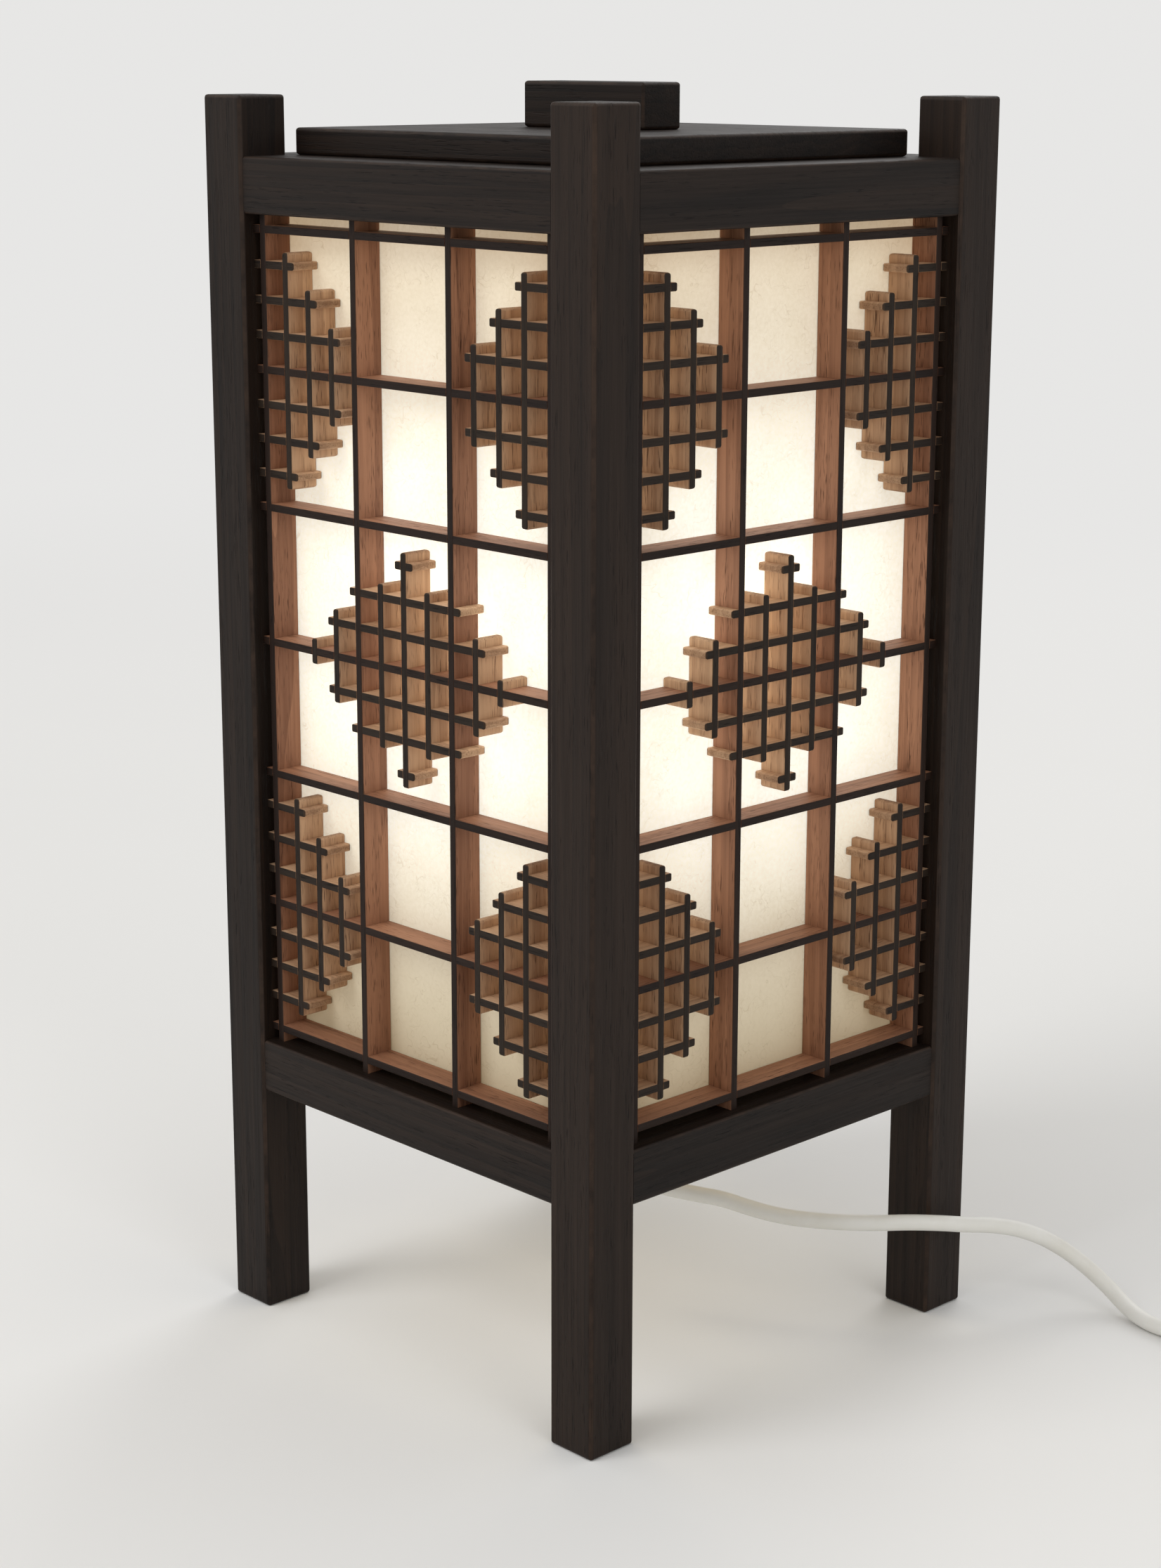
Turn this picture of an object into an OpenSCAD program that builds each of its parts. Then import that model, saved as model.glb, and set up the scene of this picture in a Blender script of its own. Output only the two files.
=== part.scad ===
// Andon table lamp: four square posts joined by eight rails, a half-lapped
// strip lattice backed with paper on each side, a lift-off lid board with a
// grip block, a bar with a bulb holder on a stem, and a mains lead with switch
// and plug.
// Millimetres. +Z up, origin on the table under the middle of the lamp.
// The front is -Y and the right side is +X.

/* [Frame] */
// Square section of the four corner posts
post_size = 22; // [19:0.5:28]
// Chamfer along the long edges of a post
post_edge = 1.2; // [0.6:0.1:2]
// Chamfer round the two ends of a post
post_end_edge = 1; // [0.5:0.1:3]
// Clear height of the legs under the lower rails
leg_height = 93; // [84:1:120]
// Height of a rail
rail_height = 21; // [19:0.5:26]
// Depth of a rail from front to back
rail_depth = 20; // [19:0.5:21]
// How far a rail stands back from the posts' outer faces
rail_setback = 1; // [0.5:0.1:2]
// Chamfer along a rail's two outer edges
rail_edge = 0.8; // [0.4:0.1:1.5]
// How far the posts stand above the upper rails
post_rise = 22; // [14:1:30]
// Length of a rail's tenon
tenon_length = 14; // [8:0.5:16]
// Thickness of a rail's tenon
tenon_thickness = 8; // [5:0.5:10]

/* [Lattice] */
// Distance between neighbouring lattice lines
pitch = 13; // [11.5:0.25:15]
// From the outermost upright's middle to the post
side_rim = 5; // [4:0.25:8]
// From the outermost crosspiece's middle to the rail
end_rim = 5.5; // [4:0.25:8]
// Thickness of a lattice strip, seen from the front
strip_thickness = 3; // [2:0.25:4]
// Depth of a lattice strip, from front to paper
strip_depth = 12; // [9:0.5:13]
// How far the strips' front edges stand back from the posts' outer faces
lattice_setback = 5.5; // [4:0.25:7]
// How far a short strip runs past the last strip that it crosses
stub = 5; // [3:0.25:6]
// How deep a strip's end is let into a post or rail
strip_housing = 3; // [2:0.25:4]
// Thickness of the paper
paper_thickness = 0.3; // [0.2:0.05:0.6]

/* [Lid] */
// Thickness of the lid board
lid_thickness = 10; // [8:0.5:14]
// Gap between the lid's edges and the posts' inner faces
lid_play = 2; // [1:0.25:3]
// Chamfer round the lid board
lid_edge = 1; // [0.5:0.1:1.5]
// Length of the grip block
grip_length = 64; // [50:1:90]
// Width of the grip block
grip_width = 20; // [16:0.5:30]
// Height of the grip block
grip_height = 17; // [13:0.5:24]
// Distance between the two screws of the grip block
grip_screw_spacing = 36; // [24:1:40]
// Width of the cleats that carry the lid
cleat_width = 10; // [9:0.5:14]
// Height of the cleats
cleat_height = 12; // [10:0.5:16]
// Distance between the two screws of a cleat
cleat_screw_spacing = 90; // [60:1:110]

/* [Bulb and holder] */
// Width of the bar that carries the holder
bar_width = 44; // [36:1:56]
// Thickness of the bar
bar_thickness = 12; // [10:0.5:15]
// How deep the bar's ends are let into the rails
bar_housing = 6; // [3:0.5:8]
// Height of the holder's underside above the bar
stem_height = 58; // [20:1:80]
// Outer radius of the stem's threaded tube
stem_radius = 5; // [4.5:0.1:6]
// Width of the stem's nut across its flats
nut_width = 14; // [13:0.5:18]
// Height of the stem's nut
nut_height = 5; // [3:0.5:8]
// Radius of the washer under the nut
washer_radius = 11; // [9:0.5:15]
// Outer radius of the holder
holder_radius = 19; // [17:0.25:23]
// Height of the holder's dome, up to the floor of its cup
holder_dome_height = 22; // [20:0.5:28]
// Height of the holder's cup above its dome
holder_cup_height = 30; // [26:0.5:36]
// Inner radius of the screw shell
shell_radius = 13.5; // [13.4:0.1:14]
// Thickness of the shell's metal
shell_wall = 0.6; // [0.4:0.1:1]
// Radius of the bulb's cap over its ridges
cap_radius = 13; // [12.5:0.1:13.1]
// Length of the bulb's cap
cap_length = 24; // [20:0.5:28]
// Radius of the bulb's globe
globe_radius = 30; // [24:0.5:36]
// Radius of the flare between the bulb's neck and its globe
neck_flare = 40; // [25:1:60]
// Straight part of the bulb's neck above the cap
neck_height = 2.5; // [1:0.5:8]

/* [Lead] */
// Diameter of the round mains lead
lead_diameter = 6.4; // [5:0.1:8]
// Length of the tapered sleeve under the bar
relief_length = 20; // [16:0.5:26]
// Length of the switch housing
switch_length = 60; // [50:1:70]
// Width of the switch housing
switch_width = 24; // [20:0.5:24]
// Height of the switch housing
switch_height = 20; // [18:0.5:24]
// Wall of the switch housing
switch_wall = 2; // [1.4:0.1:2.5]
// Length of the rocker
rocker_length = 20; // [16:0.5:26]
// Width of the rocker
rocker_width = 11; // [8:0.5:13]
// Tilt of the rocker to either side, in degrees
rocker_tilt = 8; // [5:0.5:10]
// Width of the plug
plug_width = 26; // [22:0.5:30]
// Height of the plug
plug_height = 16; // [14:0.5:20]
// Length of the plug's body
plug_length = 30; // [24:0.5:38]

/* [Hidden] */

// Side k is the front, right, back or left side for k = 0 to 3, and post k
// stands at the front left, front right, back right or back left corner

// Clearances
joint_gap = 0.1;
lap_gap = 0.05;
pocket_spare = 0.3;
screw_gap = 0.1;
moving_gap = 0.4;
cut_past = 1;
round_fn = 64;

// The lattice counts: full uprights stand on columns -6, -2, 2 and 6, and full
// crosspieces lie on rows -12, -8, -4, 0, 4, 8 and 12. A diamond of short
// strips fills the middle, and half a diamond stands at each end of rows 8 and -8.
last_column = 6;
last_row = 12;
full_columns = [-6, -2, 2, 6];
full_rows = [-12, -8, -4, 0, 4, 8, 12];
side_rows = [-8, 8];
diamond_reach = [3, 2, 0, 1, 0];
row_reach = [0, 3, 2, 0];

// Places that follow from the sizes
clear_width = 2 * (last_column * pitch + side_rim);
clear_height = 2 * (last_row * pitch + end_rim);
inner = clear_width / 2;
half = inner + post_size;
lower_rail_z = leg_height;
lattice_z = lower_rail_z + rail_height;
upper_rail_z = lattice_z + clear_height;
lid_z = upper_rail_z + rail_height;
post_height = lid_z + post_rise;
middle_z = lattice_z + clear_height / 2;
rail_front = -half + rail_setback;
rail_back = rail_front + rail_depth;
rail_middle = (rail_front + rail_back) / 2;
strip_front = -half + lattice_setback;
strip_back = strip_front + strip_depth;
strip_middle = (strip_front + strip_back) / 2;
tenon_height = rail_height / 2 - 1.5;
bar_top = lattice_z - strip_housing;
bar_z = bar_top - bar_thickness;
bar_reach = -rail_back + bar_housing;
lid_half = inner - lid_play;

// The holder and the bulb, from the bar up
washer_height = 1.2;
stem_bite = 7;
stem_bore = lead_diameter / 2 + 0.6;
holder_z = bar_top + stem_height;
cup_floor_z = holder_z + holder_dome_height;
cup_top = cup_floor_z + holder_cup_height;
contact_z = cup_floor_z + 3;
contact_foot_radius = 4.2;
contact_tip_radius = 3.2;
tip_z = contact_z + screw_gap;
tip_height = 1.4;
tip_low_radius = 3.4;
tip_high_radius = 4.6;
cap_foot_radius = 6;
cap_z = tip_z + tip_height;
cap_foot_height = 2.6;
cap_top = cap_z + cap_length;
cap_ridge = 0.6;
cap_wall = 0.8;
neck_in_cap = 8;
neck_radius = cap_radius - cap_ridge - cap_wall - joint_gap;
flare_z = cap_top + neck_height;
globe_z = flare_z + sqrt(pow(globe_radius + neck_flare, 2) - pow(neck_radius + neck_flare, 2));
flare_turn = acos((neck_radius + neck_flare) / (globe_radius + neck_flare));
glass_wall = 1;
wood_screw = [1.9, 3.6, 2.4];
small_screw = [1.25, 2.4, 1.6];
screw_slot = 0.7;
screw_bite = 10;
grip_screw_length = lid_thickness + screw_bite;
cleat_screw_length = cleat_width + screw_bite;

// Tapered sleeves, as thickness round the lead at the root and at the tip
lead_radius = lead_diameter / 2;
sleeve_root = lead_radius + 2.8;
sleeve_tip = lead_radius + 1.2;

// The relief is screwed to the stem's lower end and clamps the bar to the nut
relief_collar_radius = stem_radius + 3.4;
relief_collar_height = 8;
relief_z = bar_z - relief_length;
stem_low_z = bar_z - relief_collar_height + 1;

// The switch and the plug lie where the lead's route takes them
switch_tip_x = 222;
switch_y = 135;
switch_z = switch_height / 2;
switch_sleeve_length = 20;
switch_x = switch_tip_x + switch_sleeve_length;
switch_middle = switch_x + switch_length / 2;
switch_end_x = switch_x + switch_length + switch_sleeve_length;
pivot_height = switch_height - 4;
axle_radius = 1.5;
axle_play = 0.1;
bearing_wall = 2.4;
bearing_width = 7;
switch_screw_inset = 5;
switch_screw_length = switch_height - 4;
switch_corner = 1.5;
boss_radius = 3.2;
plug_tip_y = 45;
plug_z = plug_height / 2;
plug_sleeve_length = 24;
plug_y = plug_tip_y - plug_sleeve_length;
plug_corner = 2.5;
blade = [1.5, 17, 6.35];
blade_spacing = 12.7;
blade_depth = 8;

// The coil: loops side by side in two layers, wound inwards on the table and
// out again on top
coil_middle = [310, 72];
coil_turns = 6;
coil_inner = 25.8;
coil_step = lead_diameter + 0.45;
coil_outer = coil_inner + coil_step * coil_turns / 2;
coil_rings = 24;
coil_east = coil_middle[0] + coil_outer;
coil_low = lead_radius;
coil_high = coil_low + coil_step;

// The free stretches of the lead, as points on its middle line
lead_route = [
  [0, 0, relief_z], [0, 0, relief_z - lead_radius], [1.6, 1.6, 66.4], [5.6, 5.1, 58.6],
  [12.5, 10.8, 52.3], [20.6, 16.9, 48.8], [29.4, 23, 47.1], [42.1, 30.1, 45.9],
  [50.7, 33.8, 44.4], [59.6, 37.5, 43.2], [69.4, 42.2, 42.6], [78.9, 48, 42.5],
  [87.6, 54.6, 42.5], [96, 62.7, 42.5], [104, 72, 42.5], [111, 82, 41.5], [115, 93, 39],
  [120, 107, 36],
  [126, 121, 31], [133, 132, 24], [142, 139, 16], [152, 141, 9.5], [163, 139, 5],
  [174, 136, 3.4], [186, 135, 3.6], [198, 135, 6.2], [208, 135, 9],
  [switch_tip_x - lead_diameter, switch_y, switch_z], [switch_tip_x, switch_y, switch_z]
];
link_end = [coil_east, coil_middle[1] + lead_diameter, coil_low];
link_route = [
  [switch_end_x, switch_y, switch_z], [switch_end_x + lead_diameter, switch_y, switch_z],
  [338, 132.5, 8.6], [346, 127.5, 7], [352, 120, 5.4], [355.5, 111, 4.2],
  [356.3, 100, 3.4], [coil_east, 90, coil_low], link_end
];
tail_start = [coil_east, coil_middle[1] - lead_diameter, coil_high];
tail_route = [
  tail_start, tail_start - [0, 1, 0], [coil_east, 61.6, 9.93], [coil_east, 58.6, 9.58],
  [coil_east, 55.8, 9.03], [coil_east, 53, 8.48], [coil_east, 50, 8.12],
  [coil_east, plug_tip_y + 2, plug_z], [coil_east, plug_tip_y, plug_z]
];

wood = [0.20, 0.12, 0.08];
lattice_wood = [0.46, 0.28, 0.17];
washi = [0.97, 0.93, 0.82];
porcelain = [0.93, 0.92, 0.88];
brass = [0.78, 0.62, 0.32];
nickel = [0.74, 0.73, 0.70];
steel = [0.66, 0.66, 0.68];
frosted = [0.98, 0.96, 0.90];
white_plastic = [0.92, 0.91, 0.88];
rocker_grey = [0.86, 0.85, 0.82];

// The lattice rule

function column_x(i) = i * pitch;
function row_z(j) = middle_z + j * pitch;
function is_full_column(i) = abs(i) == 2 || abs(i) == last_column;
function is_full_row(j) = j % 4 == 0;

// How many rows above and below row centre a short upright in column i crosses
function side_reach(i) = abs(i) - 2;
function to_side_row(j) = abs(abs(j) - side_rows[1]);

// Whether the upright of column i passes row j, and the crosspiece of row j column i
function upright_at(i, j) =
  is_full_column(i) || (abs(i) < 5 && abs(j) <= diamond_reach[abs(i)])
  || (abs(i) > 2 && to_side_row(j) <= side_reach(i));
function crosspiece_at(i, j) =
  is_full_row(j) || (abs(j) < 4 && abs(i) <= row_reach[abs(j)])
  || (to_side_row(j) < 4 && abs(i) >= 2 + to_side_row(j));
function crossed(i, j) = upright_at(i, j) && crosspiece_at(i, j);

// Every short upright as [column, lowest row, highest row]
short_uprights = [
  for (i = [-4, -3, -1, 0, 1, 3, 4]) [i, -diamond_reach[abs(i)], diamond_reach[abs(i)]],
  for (i = [-5, -4, -3, 3, 4, 5], row = side_rows)
    [i, row - side_reach(i), row + side_reach(i)]
];

// Every short crosspiece as [row, first column, last column], where one that
// starts at a post runs to column 7 on that side
post_column = last_column + 1;
short_crosspieces = [
  for (j = [-3, -2, -1, 1, 2, 3]) [j, -row_reach[abs(j)], row_reach[abs(j)]],
  for (row = side_rows, k = [-3, -2, -1, 1, 2, 3])
    each [[row + k, -post_column, -2 - abs(k)], [row + k, 2 + abs(k), post_column]]
];

// Where a crosspiece ends, at column i going out to the side s
function crosspiece_end(i, s) =
  abs(i) == post_column ? s * (inner + strip_housing) : column_x(i) + s * stub;

// An edge from a to b with a square notch down to depth d at each place in cuts
function notched(a, b, edge, d, cuts) = [
  [a, edge],
  for (c = cuts) each [
    [c - strip_thickness / 2 - lap_gap, edge], [c - strip_thickness / 2 - lap_gap, d],
    [c + strip_thickness / 2 + lap_gap, d], [c + strip_thickness / 2 + lap_gap, edge]],
  [b, edge]
];

// Shapes that several pieces share

// A block with its long edges chamfered by long_edge and its ends by end_edge,
// standing on z = 0, long in z
module chamfered_block(size, long_edge, end_edge) {
  intersection() {
    linear_extrude(height = size[2]) chamfered(size[0], size[1], long_edge);
    translate([0, size[1] / 2, size[2] / 2]) rotate([90, 0, 0])
      linear_extrude(height = size[1]) chamfered(size[0], size[2], end_edge);
    translate([-size[0] / 2, 0, size[2] / 2]) rotate([90, 0, 90])
      linear_extrude(height = size[0]) chamfered(size[1], size[2], end_edge);
  }
}

module chamfered(w, h, e) {
  polygon([
    [-w / 2 + e, -h / 2], [w / 2 - e, -h / 2], [w / 2, -h / 2 + e], [w / 2, h / 2 - e],
    [w / 2 - e, h / 2], [-w / 2 + e, h / 2], [-w / 2, h / 2 - e], [-w / 2, -h / 2 + e]]);
}

// A box from its two corners
module span(low, high) {
  translate(low) cube(high - low);
}

// Turns a piece of the front side to side k
module side(k) {
  rotate([0, 0, 90 * k]) children();
}

// A countersunk screw, head at z = 0 and point down. kind is [shank radius, head
// radius, head height], and grow makes the hole for it
module screw_form(kind, length, grow = 0) {
  rotate_extrude($fn = round_fn) polygon([
    [0, grow > 0 ? cut_past : 0], [kind[1] + grow, grow > 0 ? cut_past : 0],
    [kind[1] + grow, 0], [kind[0] + grow, -kind[2]],
    [kind[0] + grow, -length + kind[0] - grow], [0, -length - grow]]);
}

module screw(kind, length) {
  difference() {
    screw_form(kind, length);
    translate([0, 0, -screw_slot]) linear_extrude(height = cut_past + screw_slot)
      square([2 * kind[1] + cut_past, screw_slot], center = true);
  }
}

// A lead swept along its points. Each ring stands square to the way the lead
// runs there, and a normal is carried from ring to ring without twist
function unit(v) = v / norm(v);
function heading(p, i) = unit(p[min(i + 1, len(p) - 1)] - p[max(i - 1, 0)]);
function square_to(n, t) = unit(n - (n * t) * t);
function normals(p, n0) = [
  for (i = 0, n = square_to(n0, heading(p, 0)); i < len(p);
    i = i + 1, n = i < len(p) ? square_to(n, heading(p, i)) : n) n];

module lead_tube(p, n0, sides) {
  n = normals(p, n0);
  last = len(p) - 1;
  polyhedron(
    points = [
      for (i = [0:last], s = [0:sides - 1])
        let (a = 360 * s / sides, t = heading(p, i))
          p[i] + lead_radius * (cos(a) * n[i] + sin(a) * cross(t, n[i]))],
    faces = [
      for (s = [1:sides - 2]) [0, s, s + 1],
      for (s = [1:sides - 2]) [last * sides, last * sides + s + 1, last * sides + s],
      for (i = [0:last - 1], s = [0:sides - 1])
        let (a = i * sides + s, b = i * sides + (s + 1) % sides)
          each [[a, a + sides, b], [b, a + sides, b + sides]]]);
}

// A tapered rubber sleeve along +Z from its root at z = 0, with shallow rings
module taper_sleeve(length) {
  rings = 4;
  groove = 0.5;
  land = length / (2 * rings + 1);
  function taper(z) = sleeve_root + (sleeve_tip - sleeve_root) * z / length;
  rotate_extrude($fn = round_fn) polygon([
    [0, 0], [sleeve_root, 0],
    for (k = [0:rings - 1]) each [
      [taper((2 * k + 1) * land), (2 * k + 1) * land],
      [taper((2 * k + 1) * land) - groove, (2 * k + 1.2) * land],
      [taper((2 * k + 2) * land) - groove, (2 * k + 1.8) * land],
      [taper((2 * k + 2) * land), (2 * k + 2) * land]],
    [sleeve_tip, length], [0, length]]);
}

// Frame

// Space for one rail's tenon in the front left post, above or below the middle
module tenon_space(rail_z, upper, grow) {
  low = rail_z + rail_height / 2 + (upper ? 1 : -1 - tenon_height);
  span(
    [-inner - tenon_length - (grow > 0 ? pocket_spare : 0), rail_middle - tenon_thickness / 2 - grow,
      low - grow],
    [-inner + (grow > 0 ? cut_past : 0), rail_middle + tenon_thickness / 2 + grow,
      low + tenon_height + grow]);
}

// The pockets in the post's face towards the next post along the front
module post_pockets(upper) {
  tenon_space(lower_rail_z, upper, joint_gap);
  tenon_space(upper_rail_z, upper, joint_gap);
  for (j = [-last_row:last_row])
    if (is_full_row(j) || to_side_row(j) < 4)
      span(
        [-inner - strip_housing - pocket_spare, strip_front - lap_gap,
          row_z(j) - strip_thickness / 2 - lap_gap],
        [-inner + cut_past, strip_back + lap_gap, row_z(j) + strip_thickness / 2 + lap_gap]);
}

module post(k) {
  upper = k % 2 == 0;
  color(wood) side(k) difference() {
    translate([-inner - post_size / 2, -inner - post_size / 2, 0])
      chamfered_block([post_size, post_size, post_height], post_edge, post_end_edge);
    post_pockets(upper);
    mirror([1, -1, 0]) post_pockets(!upper);
  }
}

// The bare rail of the front side, with its two tenons
module rail_blank(rail_z, upper) {
  translate([-inner, 0, 0]) rotate([90, 0, 90]) linear_extrude(height = clear_width)
    polygon([
      [rail_front + rail_edge, rail_z], [rail_back, rail_z],
      [rail_back, rail_z + rail_height], [rail_front + rail_edge, rail_z + rail_height],
      [rail_front, rail_z + rail_height - rail_edge], [rail_front, rail_z + rail_edge]]);
  tenon_space(rail_z, upper, 0);
  mirror([1, 0, 0]) tenon_space(rail_z, upper, 0);
}

// Pockets for the ends of the full uprights, from height low to high
module upright_pockets(low, high) {
  for (i = full_columns)
    span(
      [column_x(i) - strip_thickness / 2 - lap_gap, strip_front - lap_gap, low],
      [column_x(i) + strip_thickness / 2 + lap_gap, strip_back + lap_gap, high]);
}

module bottom_rail(k) {
  color(wood) side(k) difference() {
    rail_blank(lower_rail_z, k % 2 == 0);
    upright_pockets(lattice_z - strip_housing - pocket_spare, lattice_z + cut_past);
    if (k % 2 == 1)
      span(
        [-bar_width / 2 - joint_gap, rail_back - bar_housing - pocket_spare, bar_z - joint_gap],
        [bar_width / 2 + joint_gap, rail_back + cut_past, bar_top + joint_gap]);
  }
}

module top_rail(k) {
  color(wood) side(k) difference() {
    rail_blank(upper_rail_z, k % 2 == 0);
    upright_pockets(upper_rail_z - cut_past, upper_rail_z + strip_housing + pocket_spare);
    cleat_screw_places() screw_form(wood_screw, cleat_screw_length, screw_gap);
  }
}

// Lattice

// An upright of column i from height a to b, notched from behind at the rows in rows
module upright(i, a, b, rows) {
  edge = notched(a, b, strip_back, strip_middle, [for (j = rows) row_z(j)]);
  translate([column_x(i) - strip_thickness / 2, 0, 0]) rotate([90, 0, 90])
    linear_extrude(height = strip_thickness)
      polygon([[strip_front, b], [strip_front, a], for (p = edge) [p[1], p[0]]]);
}

// A crosspiece of row j from x = a to b, notched from the front at the columns in columns
module crosspiece(j, a, b, columns) {
  edge = notched(a, b, strip_front, strip_middle, [for (i = columns) column_x(i)]);
  translate([0, 0, row_z(j) - strip_thickness / 2]) linear_extrude(height = strip_thickness)
    polygon([for (p = edge) p, [b, strip_back], [a, strip_back]]);
}

module long_uprights(k) {
  color(lattice_wood) side(k) for (i = full_columns)
    upright(i, lattice_z - strip_housing, upper_rail_z + strip_housing,
      [for (j = [-last_row:last_row]) if (crossed(i, j)) j]);
}

module long_crosspieces(k) {
  color(lattice_wood) side(k) for (j = full_rows)
    crosspiece(j, -inner - strip_housing, inner + strip_housing,
      [for (i = [-last_column:last_column]) if (crossed(i, j)) i]);
}

module short_upright_set(k) {
  color(lattice_wood) side(k) for (u = short_uprights)
    upright(u[0], row_z(u[1]) - stub, row_z(u[2]) + stub,
      [for (j = [u[1]:u[2]]) if (crossed(u[0], j)) j]);
}

module short_crosspiece_set(k) {
  color(lattice_wood) side(k) for (c = short_crosspieces)
    crosspiece(c[0], crosspiece_end(c[1], -1), crosspiece_end(c[2], 1),
      [for (i = [max(c[1], -last_column):min(c[2], last_column)]) if (crossed(i, c[0])) i]);
}

module paper(k) {
  color(washi) side(k) span(
    [-inner + joint_gap, strip_back, lattice_z + joint_gap],
    [inner - joint_gap, strip_back + paper_thickness, upper_rail_z - joint_gap]);
}

// Lid

// The screws of one cleat, heads on the cleat's inner face
module cleat_screw_places() {
  for (s = [-1, 1])
    translate([s * cleat_screw_spacing / 2, rail_back + cleat_width, lid_z - cleat_height / 2])
      rotate([-90, 0, 0]) children();
}

// The cleats of the front and back run from post to post, and the other two
// stand between them
module lid_cleats() {
  color(wood) for (k = [0:3])
    side(k) difference() {
      reach = k % 2 == 0 ? inner - moving_gap : -rail_back - cleat_width - joint_gap;
      span([-reach, rail_back, lid_z - cleat_height], [reach, rail_back + cleat_width, lid_z]);
      cleat_screw_places() screw_form(wood_screw, cleat_screw_length, screw_gap);
    }
}

module cleat_screws() {
  color(brass) for (k = [0:3]) side(k) cleat_screw_places() screw(wood_screw, cleat_screw_length);
}

module grip_screw_places() {
  for (s = [-1, 1])
    translate([s * grip_screw_spacing / 2, 0, lid_z]) mirror([0, 0, 1]) children();
}

module lid_board() {
  color(wood) difference() {
    translate([0, 0, lid_z])
      chamfered_block([2 * lid_half, 2 * lid_half, lid_thickness], lid_edge, lid_edge);
    grip_screw_places() screw_form(wood_screw, grip_screw_length, screw_gap);
  }
}

module lid_grip() {
  color(wood) difference() {
    translate([0, 0, lid_z + lid_thickness])
      chamfered_block([grip_length, grip_width, grip_height], lid_edge, lid_edge);
    grip_screw_places() screw_form(wood_screw, grip_screw_length, screw_gap);
  }
}

module grip_screws() {
  color(brass) grip_screw_places() screw(wood_screw, grip_screw_length);
}

// Bar, holder and bulb

module lamp_bar() {
  color(wood) difference() {
    span([-bar_reach, -bar_width / 2, bar_z], [bar_reach, bar_width / 2, bar_top]);
    translate([0, 0, bar_z - cut_past])
      cylinder(h = bar_thickness + 2 * cut_past, r = stem_radius + joint_gap, $fn = round_fn);
  }
}

// A threaded brass tube, drawn at its outer radius
module stem() {
  stem_top = holder_z + stem_bite;
  color(brass) translate([0, 0, stem_low_z]) difference() {
    cylinder(h = stem_top - stem_low_z, r = stem_radius, $fn = round_fn);
    translate([0, 0, -cut_past])
      cylinder(h = stem_top - stem_low_z + 2 * cut_past, r = stem_bore, $fn = round_fn);
  }
}

// The nut and its washer on the bar
module stem_nut() {
  corner = nut_width / 2 / cos(30);
  color(brass) translate([0, 0, bar_top]) difference() {
    union() {
      cylinder(h = washer_height, r = washer_radius, $fn = round_fn);
      translate([0, 0, washer_height]) cylinder(h = nut_height, r = corner, $fn = 6);
    }
    translate([0, 0, -cut_past])
      cylinder(h = washer_height + nut_height + 2 * cut_past, r = stem_radius + joint_gap,
        $fn = round_fn);
  }
}

// A glazed dome over a wiring space, with a boss for the stem below and a cup above
module holder_body() {
  boss_radius = stem_radius + 4;
  boss_height = 5;
  wall = 3;
  rise = holder_dome_height - boss_height;
  sweep = holder_radius - boss_radius;
  dome = [for (m = [0:8]) let (a = 90 * m / 8)
    [boss_radius + sweep * sin(a), boss_height + rise * (1 - cos(a))]];
  color(porcelain) translate([0, 0, holder_z]) difference() {
    rotate_extrude($fn = round_fn) polygon([
      [0, 0], [boss_radius, 0], for (p = dome) p,
      [holder_radius, holder_dome_height + holder_cup_height - 1.5],
      [holder_radius - 1.5, holder_dome_height + holder_cup_height],
      [0, holder_dome_height + holder_cup_height]]);
    translate([0, 0, holder_dome_height])
      cylinder(h = holder_cup_height + cut_past, r = shell_radius + shell_wall + joint_gap,
        $fn = round_fn);
    translate([0, 0, -cut_past])
      cylinder(h = stem_bite + 2 * cut_past, r = stem_radius + joint_gap, $fn = round_fn);
    translate([0, 0, stem_bite])
      cylinder(h = holder_dome_height - stem_bite - wall, r1 = stem_radius + joint_gap,
        r2 = shell_radius - wall, $fn = round_fn);
  }
}

module holder_shell() {
  wall = shell_radius + shell_wall;
  plate_hole = 6;
  color(brass) rotate_extrude($fn = round_fn) polygon([
    [plate_hole, cup_floor_z], [wall, cup_floor_z], [wall, cup_top - 1],
    [shell_radius, cup_top - 1], [shell_radius, cup_floor_z + shell_wall],
    [plate_hole, cup_floor_z + shell_wall]]);
}

module holder_contact() {
  color(brass) translate([0, 0, cup_floor_z])
    cylinder(h = contact_z - cup_floor_z, r1 = contact_foot_radius, r2 = contact_tip_radius,
      $fn = round_fn);
}

// The cap's ridges stand in rings of the real screw's pitch. The glass is
// cemented into its open top
module bulb_cap() {
  ridge_pitch = 3.6;
  ridges = floor((cap_length - cap_foot_height - 2) / ridge_pitch);
  root = cap_radius - cap_ridge;
  first = cap_z + cap_foot_height + 0.6;
  color(nickel) rotate_extrude($fn = round_fn) polygon([
    [0, cap_z], [cap_foot_radius, cap_z], [root, cap_z + cap_foot_height],
    for (m = [0:ridges - 1]) each [
      [root, first + m * ridge_pitch], [cap_radius, first + (m + 0.5) * ridge_pitch]],
    [root, first + ridges * ridge_pitch], [root, cap_top],
    [root - cap_wall, cap_top], [root - cap_wall, cap_top - neck_in_cap],
    [0, cap_top - neck_in_cap]]);
}

module bulb_contact() {
  color(steel) translate([0, 0, tip_z])
    cylinder(h = tip_height, r1 = tip_low_radius, r2 = tip_high_radius, $fn = round_fn);
}

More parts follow.
